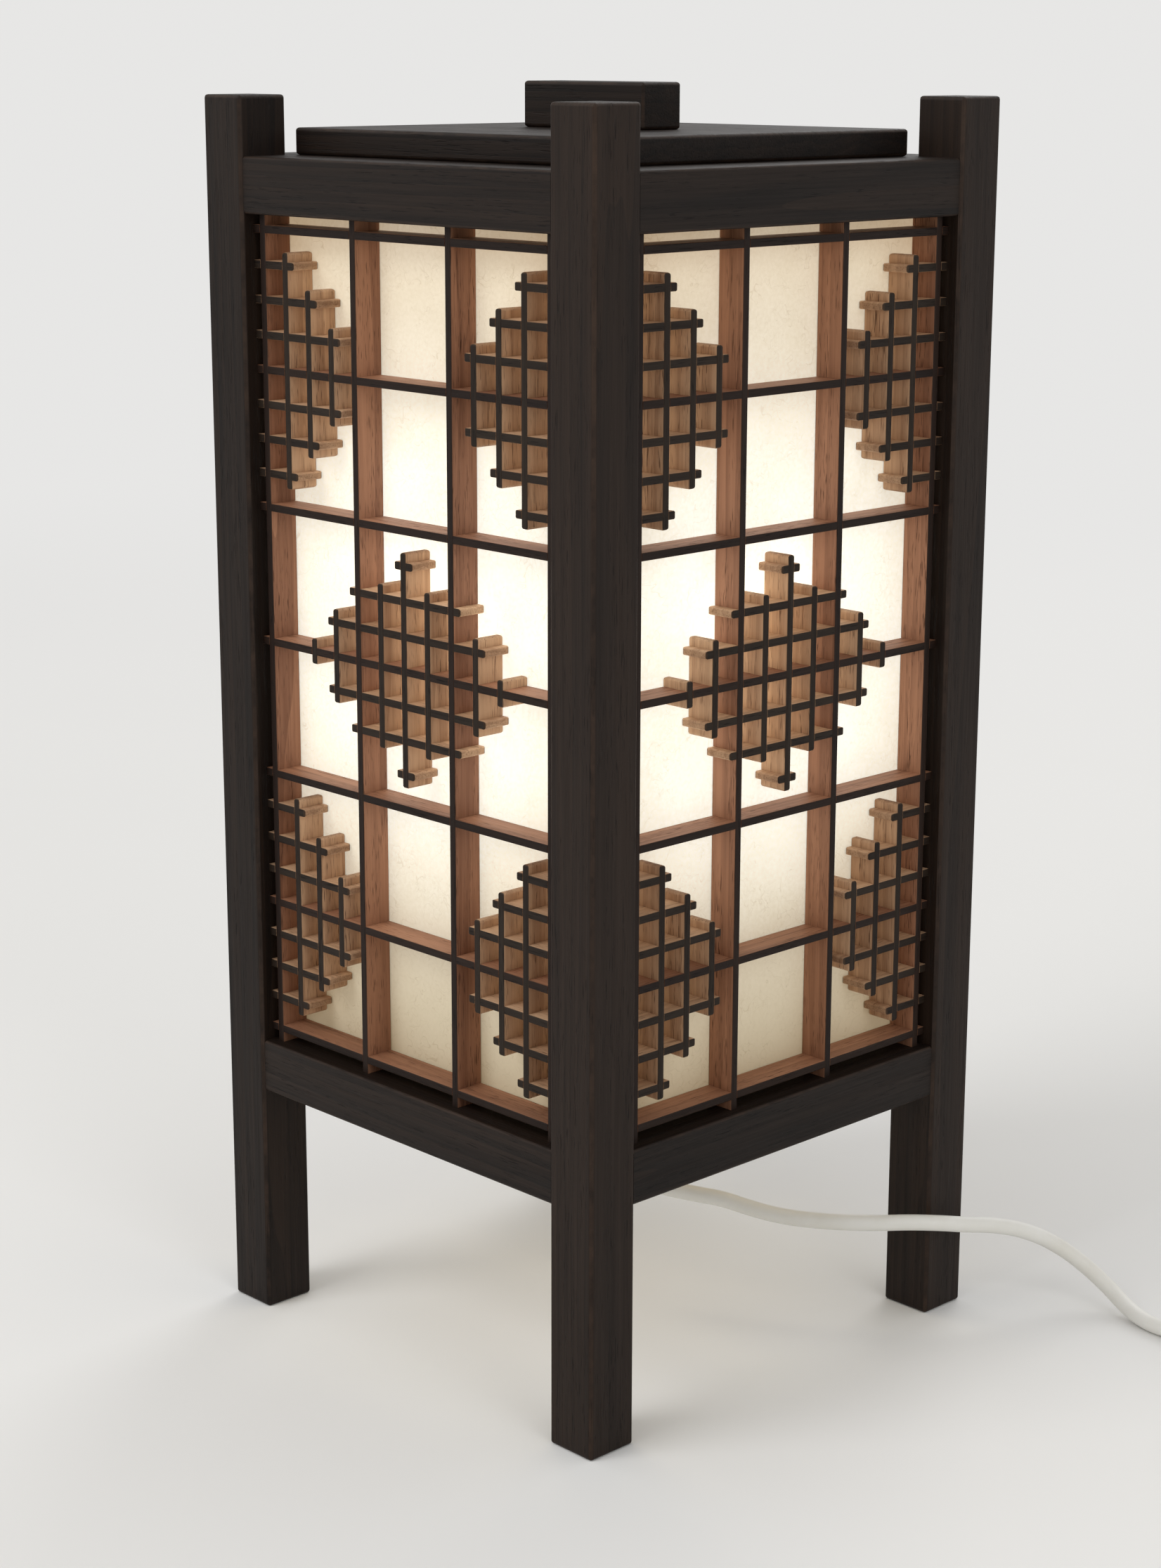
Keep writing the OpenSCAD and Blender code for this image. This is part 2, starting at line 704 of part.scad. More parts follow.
// The glass's outline from the foot of the neck to the top, lying the given
// distance inside its surface. The flare meets the neck and the globe smoothly
function glass_outline(inset) =
  let (flare_steps = 6, globe_steps = 14, flare = neck_flare + inset,
    globe = globe_radius - inset)
  [
    [neck_radius - inset, cap_top - neck_in_cap],
    for (m = [0:flare_steps])
      let (a = 180 - flare_turn * m / flare_steps)
      [neck_radius + neck_flare + flare * cos(a), flare_z + flare * sin(a)],
    for (m = [1:globe_steps])
      let (a = -flare_turn + (90 + flare_turn) * m / globe_steps)
      [globe * cos(a), globe_z + globe * sin(a)]
  ];

module bulb_glass() {
  outside = glass_outline(0);
  inside = glass_outline(glass_wall);
  color(frosted) rotate_extrude($fn = round_fn) polygon([
    for (p = outside) p, for (m = [len(inside) - 1:-1:0]) inside[m]]);
}

// Lead, from the bar to the plug

module cord_relief() {
  collar_z = bar_z - relief_collar_height;
  color(white_plastic) difference() {
    union() {
      translate([0, 0, collar_z])
        cylinder(h = relief_collar_height, r = relief_collar_radius, $fn = round_fn);
      translate([0, 0, collar_z]) mirror([0, 0, 1])
        taper_sleeve(relief_length - relief_collar_height);
    }
    translate([0, 0, relief_z - cut_past])
      cylinder(h = relief_length + 2 * cut_past, r = lead_radius + screw_gap, $fn = round_fn);
    translate([0, 0, stem_low_z])
      cylinder(h = relief_collar_height, r = stem_radius + joint_gap, $fn = round_fn);
  }
}

module inner_cord() {
  color(white_plastic) translate([0, 0, relief_z])
    cylinder(h = holder_z + stem_bite + 3 - relief_z, r = lead_radius, $fn = round_fn);
}

module cord_lead() {
  color(white_plastic) lead_tube(lead_route, [1, 0, 0], 10);
}

// The housing's outline seen from above, or that of its cavity
module switch_outline(inset) {
  chamfered(switch_length - 2 * inset, switch_width - 2 * inset, max(switch_corner - inset, 0.3));
}

module switch_screw_places() {
  for (s = [-1, 1])
    translate([s * (switch_length / 2 - switch_screw_inset), 0, 0]) children();
}

module switch_screw_holes() {
  switch_screw_places() mirror([0, 0, 1])
    screw_form(small_screw, switch_screw_length, screw_gap);
}

module at_switch() {
  translate([switch_middle, switch_y, 0]) children();
}

module switch_lower() {
  color(white_plastic) at_switch() difference() {
    union() {
      difference() {
        linear_extrude(height = switch_z) switch_outline(0);
        translate([0, 0, switch_wall]) linear_extrude(height = switch_z)
          switch_outline(switch_wall);
      }
      switch_screw_places() cylinder(h = switch_z, r = boss_radius, $fn = round_fn);
    }
    switch_screw_holes();
  }
}

// The upper half holds the rocker between two bearing walls
module switch_upper() {
  bearing_y = rocker_width / 2 + moving_gap;
  rise = switch_height - switch_z;
  color(white_plastic) at_switch() difference() {
    union() {
      difference() {
        translate([0, 0, switch_z]) linear_extrude(height = rise) switch_outline(0);
        translate([0, 0, switch_z - cut_past])
          linear_extrude(height = rise - switch_wall + cut_past) switch_outline(switch_wall);
      }
      switch_screw_places() translate([0, 0, switch_z])
        cylinder(h = rise - switch_wall / 2, r = boss_radius, $fn = round_fn);
      for (s = [-1, 1])
        translate([0, s * (bearing_y + bearing_wall / 2), switch_z + (rise - switch_wall / 2) / 2])
          cube([bearing_width, bearing_wall, rise - switch_wall / 2], center = true);
    }
    translate([0, 0, switch_height])
      cube([rocker_length + 2, 2 * bearing_y, 4 * switch_wall], center = true);
    translate([0, 0, pivot_height]) rotate([90, 0, 0])
      cylinder(h = 2 * bearing_y + bearing_wall, r = axle_radius + axle_play, center = true,
        $fn = round_fn);
    switch_screw_holes();
  }
}

// Stored pressed down on the side towards the plug, which is on
module switch_rocker() {
  valley = switch_height - pivot_height;
  rise = rocker_length / 2 * tan(rocker_tilt);
  skirt = 2.4;
  color(rocker_grey) at_switch() translate([0, 0, pivot_height]) rotate([0, rocker_tilt, 0]) {
    rotate([90, 0, 0]) linear_extrude(height = rocker_width, center = true) polygon([
      [-rocker_length / 2, -skirt], [rocker_length / 2, -skirt],
      [rocker_length / 2, valley + rise], [0, valley], [-rocker_length / 2, valley + rise]]);
    rotate([90, 0, 0])
      cylinder(h = rocker_width + 2 * moving_gap + bearing_wall - 2 * axle_play,
        r = axle_radius, center = true, $fn = round_fn);
  }
}

module switch_screws() {
  color(steel) at_switch() switch_screw_places() mirror([0, 0, 1])
    screw(small_screw, switch_screw_length);
}

module switch_sleeves() {
  color(white_plastic) for (s = [-1, 1])
    translate([switch_middle + s * switch_length / 2, switch_y, switch_z]) rotate([0, s * 90, 0])
      taper_sleeve(switch_sleeve_length);
}

module cord_link() {
  color(white_plastic) lead_tube(link_route, [0, 0, 1], 10);
}

// The coil's middle line. Turns are counted from the outside of the lower layer
function climb(t) = let (u = min(max(2 * (t - coil_turns / 2) + 0.5, 0), 1)) u * u * (3 - 2 * u);
function coil_point(t) =
  let (r = coil_outer - coil_step * min(t, coil_turns - t), a = -360 * t)
  [coil_middle[0] + r * cos(a), coil_middle[1] + r * sin(a),
    coil_low + (coil_high - coil_low) * climb(t)];
coil_line = [
  link_end,
  for (m = [0:coil_turns * coil_rings]) coil_point(m / coil_rings),
  tail_start
];
coil_gap = min([
  for (a = [0:len(coil_line) - 1 - coil_rings / 2])
    min([for (b = [a + coil_rings / 2:len(coil_line) - 1]) norm(coil_line[a] - coil_line[b])])
]) - lead_diameter;

module cord_coil() {
  echo("Least gap of the coil to itself, in mm", coil_gap);
  color(white_plastic) lead_tube(coil_line, [0, 0, 1], 6);
}

module cord_tail() {
  color(white_plastic) lead_tube(tail_route, [0, 0, 1], 10);
}

module plug_sleeve() {
  color(white_plastic) translate([coil_east, plug_y, plug_z]) rotate([-90, 0, 0])
    taper_sleeve(plug_sleeve_length);
}

module blade_places() {
  for (s = [-1, 1])
    translate([coil_east + s * blade_spacing / 2, plug_y - plug_length, plug_z]) children();
}

module plug_body() {
  color(white_plastic) difference() {
    translate([coil_east, plug_y, plug_z]) rotate([90, 0, 0])
      chamfered_block([plug_width, plug_height, plug_length], plug_corner, plug_corner);
    blade_places() translate([0, blade_depth / 2, 0])
      cube([blade[0] + 2 * joint_gap, blade_depth + pocket_spare, blade[2] + 2 * joint_gap],
        center = true);
  }
}

// Flat pins with the round hole near the tip
module plug_blades() {
  hole_radius = 1.5;
  hole_from_tip = 3.5;
  color(nickel) blade_places() difference() {
    translate([-blade[0] / 2, -blade[1], -blade[2] / 2])
      cube([blade[0], blade[1] + blade_depth - joint_gap, blade[2]]);
    translate([0, -blade[1] + hole_from_tip, 0]) rotate([0, 90, 0])
      cylinder(h = 4 * blade[0], r = hole_radius, center = true, $fn = round_fn);
  }
}

post(0);  // post_front_left
post(1);  // post_front_right
post(2);  // post_back_right
post(3);  // post_back_left
top_rail(0);  // top_rail_front
top_rail(1);  // top_rail_right
top_rail(2);  // top_rail_back
top_rail(3);  // top_rail_left
bottom_rail(0);  // bottom_rail_front
bottom_rail(1);  // bottom_rail_right
bottom_rail(2);  // bottom_rail_back
bottom_rail(3);  // bottom_rail_left
long_uprights(0);  // long_uprights_front
long_uprights(1);  // long_uprights_right
long_uprights(2);  // long_uprights_back
long_uprights(3);  // long_uprights_left
long_crosspieces(0);  // long_crosspieces_front
long_crosspieces(1);  // long_crosspieces_right
long_crosspieces(2);  // long_crosspieces_back
long_crosspieces(3);  // long_crosspieces_left
short_upright_set(0);  // short_uprights_front
short_upright_set(1);  // short_uprights_right
short_upright_set(2);  // short_uprights_back
short_upright_set(3);  // short_uprights_left
short_crosspiece_set(0);  // short_crosspieces_front
short_crosspiece_set(1);  // short_crosspieces_right
short_crosspiece_set(2);  // short_crosspieces_back
short_crosspiece_set(3);  // short_crosspieces_left
paper(0);  // paper_front
paper(1);  // paper_right
paper(2);  // paper_back
paper(3);  // paper_left
lid_cleats();
cleat_screws();
lid_board();
lid_grip();
grip_screws();
lamp_bar();
stem();
stem_nut();
holder_body();
holder_shell();
holder_contact();
bulb_cap();
bulb_contact();
bulb_glass();
cord_relief();
inner_cord();
cord_lead();
switch_lower();
switch_upper();
switch_rocker();
switch_screws();
switch_sleeves();
cord_link();
cord_coil();
cord_tail();
plug_sleeve();
plug_body();
plug_blades();
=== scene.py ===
"""Andon table lamp: dark posts and rails, a lattice in front of lit paper, a lid with a grip,
a bulb on a short stem, and a white lead with its switch and plug.

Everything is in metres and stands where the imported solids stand.
"""

import sys
import logging
import math
import random
from dataclasses import dataclass, field
from enum import Enum
from typing import Callable, Iterable, Optional, Sequence, Union

import bmesh
import bpy
from mathutils import Matrix, Vector


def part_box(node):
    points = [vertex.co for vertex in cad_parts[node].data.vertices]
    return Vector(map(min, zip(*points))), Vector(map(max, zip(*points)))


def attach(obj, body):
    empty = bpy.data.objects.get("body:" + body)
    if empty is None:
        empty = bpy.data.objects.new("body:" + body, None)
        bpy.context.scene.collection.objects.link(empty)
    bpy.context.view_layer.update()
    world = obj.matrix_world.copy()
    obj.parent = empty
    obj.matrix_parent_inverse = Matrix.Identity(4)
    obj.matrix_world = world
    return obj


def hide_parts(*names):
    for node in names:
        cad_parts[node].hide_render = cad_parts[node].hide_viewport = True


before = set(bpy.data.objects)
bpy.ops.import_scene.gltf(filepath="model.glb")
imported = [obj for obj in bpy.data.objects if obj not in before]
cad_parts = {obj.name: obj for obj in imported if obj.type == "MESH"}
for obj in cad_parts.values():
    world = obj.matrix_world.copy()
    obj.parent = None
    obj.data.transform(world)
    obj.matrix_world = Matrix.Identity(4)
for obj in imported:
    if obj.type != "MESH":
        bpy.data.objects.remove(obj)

logging.basicConfig(level=logging.INFO, format="%(name)s: %(message)s", stream=sys.stdout)
log = logging.getLogger("andon")

Colour = tuple[float, float, float]
Point = tuple[float, float, float]
Socket = bpy.types.NodeSocket
Value = Union[Socket, float, Sequence[float]]

MM = 0.001
QUARTER = math.pi / 2
ZERO: Point = (0.0, 0.0, 0.0)
ONE: Point = (1.0, 1.0, 1.0)
SIDES = ("front", "right", "back", "left")
CORNERS = ("front_left", "front_right", "back_right", "back_left")
TONE = "tone"
WEIGHT = "bevel_weight_edge"
# How far a corner may lie from the plane that it belongs to
ON_PLANE = 0.05 * MM
# Corners nearer than this are one
WELD = 0.002 * MM
# Faces that meet at less than this are one flat face
COPLANAR = math.radians(0.4)
# An edge flatter than this lies inside a curved face
FLAT = math.radians(20)


class Axis(Enum):
    """The way the wood runs in a piece, or the way a side faces."""

    X = 0
    Y = 1
    Z = 2

    @property
    def turn(self) -> Point:
        """Angles that lay this axis along Z."""
        return ((0.0, QUARTER, 0.0), (QUARTER, 0.0, 0.0), ZERO)[self.value]


class Body(Enum):
    """The moving bodies of the lamp."""

    FRAME = "frame"
    LID = "lid"
    BULB = "bulb"
    ROCKER = "rocker"


# Node trees


class Graph:
    """Adds nodes to one tree and joins them."""

    def __init__(self, tree: bpy.types.NodeTree) -> None:
        """Keep the tree.

        Args:
            tree: the node tree to build in.
        """
        self.tree = tree

    def add(self, kind: str, **settings: object) -> bpy.types.Node:
        """Add a node and set its own settings.

        Args:
            kind: the node's type name.
            settings: the node's settings by name.

        Returns:
            The new node.
        """
        node = self.tree.nodes.new(kind)
        for key, value in settings.items():
            setattr(node, key, value)
        return node

    def feed(self, socket: Socket, value: Value) -> None:
        """Join a socket to another, or set its value.

        Args:
            socket: the input socket.
            value: an output socket, a number, a vector or a colour.
        """
        if isinstance(value, bpy.types.NodeSocket):
            self.tree.links.new(value, socket)
        elif isinstance(value, (int, float)):
            socket.default_value = value
        elif socket.type == "RGBA":
            socket.default_value = (*value[:3], 1.0)
        else:
            socket.default_value = value

    def math(self, operation: str, a: Value, b: Value = 0.0, clamp: bool = False) -> Socket:
        """One sum.

        Args:
            operation: the math node's operation.
            a: first value.
            b: second value.
            clamp: keep the result from 0 to 1.

        Returns:
            The result's socket.
        """
        node = self.add("ShaderNodeMath", operation=operation, use_clamp=clamp)
        self.feed(node.inputs[0], a)
        self.feed(node.inputs[1], b)
        return node.outputs[0]

    def times(self, a: Value, b: Value) -> Socket:
        """The product of two values."""
        return self.math("MULTIPLY", a, b)

    def plus(self, a: Value, b: Value, clamp: bool = False) -> Socket:
        """The sum of two values."""
        return self.math("ADD", a, b, clamp)

    def minus(self, a: Value, b: Value, clamp: bool = False) -> Socket:
        """The difference of two values."""
        return self.math("SUBTRACT", a, b, clamp)

    def most(self, a: Value, b: Value) -> Socket:
        """The greater of two values."""
        return self.math("MAXIMUM", a, b)

    def vector(self, operation: str, a: Value, b: Value = ZERO, out: str = "Vector") -> Socket:
        """One sum on vectors.

        Args:
            operation: the vector math node's operation.
            a: first vector.
            b: second vector.
            out: the output to take.

        Returns:
            The result's socket.
        """
        node = self.add("ShaderNodeVectorMath", operation=operation)
        self.feed(node.inputs[0], a)
        self.feed(node.inputs[1], b)
        return node.outputs[out]

    def parts(self, vector: Value) -> list[Socket]:
        """The X, Y and Z of a vector."""
        node = self.add("ShaderNodeSeparateXYZ")
        self.feed(node.inputs[0], vector)
        return list(node.outputs)

    def noise(self, place: Value, scale: float, detail: float = 2.0, rough: float = 0.5,
              warp: float = 0.0) -> Socket:
        """Soft noise from 0 to 1.

        Args:
            place: where the noise is read.
            scale: waves per metre.
            detail: finer layers.
            rough: strength of the finer layers.
            warp: bending of the pattern.

        Returns:
            The noise's socket.
        """
        node = self.add("ShaderNodeTexNoise")
        self.feed(node.inputs["Vector"], place)
        for key, value in (("Scale", scale), ("Detail", detail), ("Roughness", rough),
                           ("Distortion", warp)):
            node.inputs[key].default_value = value
        return node.outputs[0]

    def spread(self, value: Value, low: float, high: float, to_low: float = 0.0,
               to_high: float = 1.0) -> Socket:
        """Map a range onto another, held at its ends.

        Args:
            value: the value to map.
            low: start of the range.
            high: end of the range.
            to_low: result at the start.
            to_high: result at the end.

        Returns:
            The result's socket.
        """
        node = self.add("ShaderNodeMapRange", clamp=True)
        self.feed(node.inputs["Value"], value)
        for key, bound in (("From Min", low), ("From Max", high), ("To Min", to_low),
                           ("To Max", to_high)):
            node.inputs[key].default_value = bound
        return node.outputs["Result"]

    def mix(self, factor: Value, a: Value, b: Value, mode: str = "MIX") -> Socket:
        """Mix two colours.

        Args:
            factor: share of the second colour.
            a: first colour.
            b: second colour.
            mode: the way they mix.

        Returns:
            The mixed colour's socket.
        """
        node = self.add("ShaderNodeMix", data_type="RGBA", blend_type=mode)
        self.feed(node.inputs[0], factor)
        self.feed(node.inputs[6], a)
        self.feed(node.inputs[7], b)
        return node.outputs[2]

    def tinted(self, colour: Value, by: Value) -> Socket:
        """One colour multiplied by another."""
        return self.mix(1.0, colour, by, "MULTIPLY")

    def ramp(self, factor: Value, stops: Sequence[tuple[float, Colour]]) -> Socket:
        """A run of colours.

        Args:
            factor: place on the run.
            stops: places and colours in order.

        Returns:
            The colour's socket.
        """
        node = self.add("ShaderNodeValToRGB")
        elements = node.color_ramp.elements
        while len(elements) < len(stops):
            elements.new(1.0)
        for element, (place, colour) in zip(elements, stops):
            element.position = place
            element.color = (*colour, 1.0)
        self.feed(node.inputs[0], factor)
        return node.outputs[0]

    def mapped(self, place: Value, turn: Point = ZERO, stretch: Point = ONE) -> Socket:
        """Turn and stretch a place.

        Args:
            place: the place to map.
            turn: angles about X, Y and Z.
            stretch: factors along X, Y and Z.

        Returns:
            The mapped vector's socket.
        """
        node = self.add("ShaderNodeMapping", vector_type="POINT")
        self.feed(node.inputs["Vector"], place)
        node.inputs["Rotation"].default_value = turn
        node.inputs["Scale"].default_value = stretch
        return node.outputs[0]

    def use(self, group: bpy.types.NodeTree, **values: Value) -> bpy.types.Node:
        """Place a node group and fill its inputs.

        Args:
            group: the group to place.
            values: inputs by name, with _ for a space.

        Returns:
            The group's node.
        """
        node = self.add("ShaderNodeGroup")
        node.node_tree = group
        for key, value in values.items():
            self.feed(node.inputs[key.replace("_", " ")], value)
        return node


def new_group(name: str, inputs: dict[str, tuple[str, Value]], outputs: dict[str, str]
              ) -> tuple[bpy.types.NodeTree, Graph, bpy.types.Node, bpy.types.Node]:
    """Start a shader node group.

    Args:
        name: the group's name.
        inputs: kind and default by input name.
        outputs: kind by output name.

    Returns:
        The group, its builder, its input node and its output node.
    """
    tree = bpy.data.node_groups.new(name, "ShaderNodeTree")
    for key, (kind, default) in inputs.items():
        socket = tree.interface.new_socket(key, in_out="INPUT", socket_type="NodeSocket" + kind)
        socket.default_value = (*default, 1.0) if kind == "Color" else default
    for key, kind in outputs.items():
        tree.interface.new_socket(key, in_out="OUTPUT", socket_type="NodeSocket" + kind)
    graph = Graph(tree)
    return tree, graph, graph.add("NodeGroupInput"), graph.add("NodeGroupOutput")


# What the groups take and give
PLACE = ("Vector", ZERO)
FACING = ("Vector", (0.0, 0.0, 1.0))
SKIN = {"Color": "Color", "Gloss": "Float", "Height": "Float"}

# Dark wood in its pores and end grain, as a share of its colour
PORE_SHADE: Colour = (0.30, 0.26, 0.24)
# Three sets of fibres in the paper: their turn and their waves per metre
FIBRE_SETS: tuple[tuple[Point, float], ...] = (
    ((0.5, 0.4, 0.3), 120.0), ((-0.7, 0.9, 1.3), 175.0), ((1.1, -0.5, 2.1), 240.0))

# The middle of the lamp's light, and from where to where it fades along the stops
GLOW_CENTRE: Point = (0.0, 0.0, 0.284)
GLOW_REACH = (0.085, 0.185)
GLOW_STOPS: tuple[tuple[float, Colour], ...] = (
    (0.00, (0.66, 0.62, 0.53)), (0.13, (0.370, 0.360, 0.333)), (0.27, (0.312, 0.307, 0.284)),
    (0.41, (0.268, 0.252, 0.221)), (0.62, (0.208, 0.184, 0.150)), (0.82, (0.202, 0.172, 0.132)),
    (1.00, (0.168, 0.128, 0.085)))
# The heights between which the light dims towards the lower rail, and its share there
FOOT_HEIGHTS = (0.215, 0.12)
FOOT_SHADE: Colour = (0.36, 0.34, 0.27)
# The same behind the lowest crosspiece, where the rail shades the paper
SILL_HEIGHTS = (0.1205, 0.1175)
SILL_SHADE: Colour = (0.10, 0.09, 0.07)


class Effects:
    """The node groups that several materials share. Each is built once."""

    def __init__(self) -> None:
        """Build every group."""
        self.wood = self._wood()
        self.wear = self._wear()
        self.fibres = self._fibres()
        self.glow = self._glow()
        self.moulding = self._moulding()
        self.tarnish = self._tarnish()

    def _wood(self) -> bpy.types.NodeTree:
        """Streaks, growth rings and open pores, with the grain along Z.

        Returns:
            The node group.
        """
        tree, g, inp, out = new_group(
            "wood grain",
            {"Place": PLACE, "Facing": FACING, "Tone": ("Float", 0.5),
             "Deep": ("Color", (0.03, 0.02, 0.015)), "Pale": ("Color", (0.07, 0.04, 0.03)),
             "Pore Depth": ("Float", 0.6), "Fineness": ("Float", 1.0)}, SKIN)
        away = g.vector("SCALE", (7.13, 3.71, 5.37))
        g.feed(away.node.inputs["Scale"], inp.outputs["Tone"])
        fine = g.vector("SCALE", inp.outputs["Place"])
        g.feed(fine.node.inputs["Scale"], inp.outputs["Fineness"])
        place = g.vector("ADD", fine, away)

        def drawn(share: float) -> Socket:
            """The place, drawn out along the grain."""
            return g.mapped(place, stretch=(1.0, 1.0, share))

        figure = g.noise(drawn(0.045), 130.0, 3.0, 0.55, 0.4)
        streak = g.noise(drawn(0.02), 900.0, 4.0, 0.6, 0.15)
        dashes = g.noise(drawn(0.055), 2300.0, 1.0, 0.4, 0.2)
        patches = g.noise(drawn(0.12), 170.0, 2.0)
        pores = g.times(g.spread(dashes, 0.60, 0.70), g.spread(patches, 0.35, 0.60))
        wander = g.vector("MULTIPLY", g.noise(drawn(0.05), 38.0, 2.0), (0.022, 0.022, 0.0))
        rings = g.add("ShaderNodeTexWave", wave_type="BANDS", bands_direction="X",
                      wave_profile="SAW")
        g.feed(rings.inputs["Vector"],
               g.vector("ADD", g.mapped(place, stretch=(1.0, 0.35, 0.02)), wander))
        for key, value in (("Scale", 62.0), ("Distortion", 1.2), ("Detail", 1.0)):
            rings.inputs[key].default_value = value
        shade = g.plus(g.times(figure, 0.5),
                       g.plus(g.times(streak, 0.34), g.times(rings.outputs["Fac"], 0.16)))
        toned = g.times(g.minus(inp.outputs["Tone"], 0.5), 0.45)
        shade = g.plus(g.spread(shade, 0.30, 0.70), toned, True)
        colour = g.mix(shade, inp.outputs["Deep"], inp.outputs["Pale"])
        end = g.spread(g.math("ABSOLUTE", g.parts(inp.outputs["Facing"])[2]), 0.75, 0.95)
        speck = g.spread(g.noise(place, 1500.0, 2.0, 0.6), 0.5, 0.66)
        pores = g.most(g.times(pores, g.minus(1.0, end)), g.times(speck, g.times(end, 0.55)))
        dark = g.tinted(colour, PORE_SHADE)
        cut = g.times(pores, inp.outputs["Pore Depth"])
        colour = g.mix(g.times(end, 0.35), g.mix(cut, colour, dark), dark)
        g.feed(out.inputs["Color"], colour)
        g.feed(out.inputs["Gloss"], g.minus(g.spread(streak, 0.3, 0.7, 0.4, 1.0), cut, True))
        g.feed(out.inputs["Height"], g.minus(g.times(streak, 0.5), cut))
        return tree

    def _wear(self) -> bpy.types.NodeTree:
        """A mask of rubbed arrises, from faces that lie square to no axis.

        Returns:
            The node group.
        """
        tree, g, inp, out = new_group(
            "edge wear", {"Place": PLACE, "Facing": FACING, "Amount": ("Float", 0.5)},
            {"Mask": "Float"})
        x, y, z = g.parts(g.vector("ABSOLUTE", inp.outputs["Facing"]))
        arris = g.spread(g.most(x, g.most(y, z)), 0.98, 0.84)
        rubbed = g.spread(g.noise(inp.outputs["Place"], 90.0, 4.0, 0.65), 0.36, 0.66)
        g.feed(out.inputs["Mask"], g.times(g.times(arris, rubbed), inp.outputs["Amount"]))
        return tree

    def _fibres(self) -> bpy.types.NodeTree:
        """Long loose fibres and soft clouds, as in handmade paper.

        Returns:
            The node group.
        """
        tree, g, inp, out = new_group("paper fibres", {"Place": PLACE},
                                      {"Fibres": "Float", "Clouds": "Float", "Height": "Float"})
        place = inp.outputs["Place"]
        lines: list[Socket] = []
        for turn, scale in FIBRE_SETS:
            bend = g.noise(g.mapped(place, turn), scale, 1.0, 0.4, 0.9)
            ridge = g.spread(g.math("ABSOLUTE", g.minus(bend, 0.5)), 0.0, 0.009, 1.0, 0.0)
            gaps = g.spread(g.noise(g.mapped(place, turn), scale * 0.45, 1.0), 0.47, 0.60)
            lines.append(g.times(ridge, gaps))
        fibres = g.most(lines[0], g.most(lines[1], lines[2]))
        flocks = g.spread(g.noise(place, 620.0, 3.0, 0.6), 0.36, 0.64)
        clouds = g.noise(place, 30.0, 3.0, 0.55)
        g.feed(out.inputs["Fibres"], fibres)
        g.feed(out.inputs["Clouds"],
               g.plus(g.times(flocks, 0.45), g.times(g.spread(clouds, 0.3, 0.7), 0.55)))
        g.feed(out.inputs["Height"], g.plus(g.times(fibres, 0.6), g.times(clouds, 0.4)))
        return tree

    def _glow(self) -> bpy.types.NodeTree:
        """The bulb's light on the paper round it, dimmed towards the lower rail.

        Returns:
            The node group.
        """
        tree, g, inp, out = new_group(
            "lamp glow", {"Place": PLACE, "Centre": ("Vector", GLOW_CENTRE)}, {"Color": "Color"})
        away = g.vector("SUBTRACT", inp.outputs["Place"], inp.outputs["Centre"])
        distance = g.vector("LENGTH", away, out="Value")
        glow = g.ramp(g.spread(distance, *GLOW_REACH), GLOW_STOPS)
        height = g.parts(inp.outputs["Place"])[2]
        for heights, shade in ((FOOT_HEIGHTS, FOOT_SHADE), (SILL_HEIGHTS, SILL_SHADE)):
            glow = g.mix(g.spread(height, *heights), glow, g.tinted(glow, shade))
        g.feed(out.inputs["Color"], glow)
        return tree

    def _moulding(self) -> bpy.types.NodeTree:
        """Fine grain, faint flow marks and handling marks of moulded plastic.

        Returns:
            The node group.
        """
        tree, g, inp, out = new_group(
            "moulded plastic",
            {"Place": PLACE, "Base": ("Color", (0.8, 0.8, 0.8)), "Soiling": ("Float", 0.2)}, SKIN)
        place = inp.outputs["Place"]
        flow = g.spread(g.noise(place, 60.0, 3.0, 0.6), 0.3, 0.7)
        handled = g.times(g.spread(g.noise(place, 24.0, 5.0, 0.7), 0.45, 0.75),
                          inp.outputs["Soiling"])
        colour = g.tinted(inp.outputs["Base"], g.mix(flow, ONE, (0.955, 0.95, 0.93)))
        g.feed(out.inputs["Color"], g.mix(handled, colour, g.tinted(colour, (0.80, 0.76, 0.68))))
        g.feed(out.inputs["Gloss"], flow)
        g.feed(out.inputs["Height"], g.noise(place, 3200.0, 1.0))
        return tree

    def _tarnish(self) -> bpy.types.NodeTree:
        """Dull patches and fine turning lines on metal.

        Returns:
            The node group.
        """
        tree, g, inp, out = new_group(
            "dulled metal", {"Place": PLACE, "Bright": ("Color", (0.8, 0.7, 0.5)),
                             "Dull": ("Color", (0.4, 0.3, 0.2))}, SKIN)
        place = inp.outputs["Place"]
        patch = g.spread(g.noise(place, 210.0, 4.0, 0.65), 0.38, 0.68)
        lines = g.noise(g.mapped(place, stretch=(0.15, 0.15, 6.0)), 900.0, 1.0)
        g.feed(out.inputs["Color"], g.mix(patch, inp.outputs["Bright"], inp.outputs["Dull"]))
        g.feed(out.inputs["Gloss"], g.minus(1.0, patch))
        g.feed(out.inputs["Height"], lines)
        return tree


# Finishes


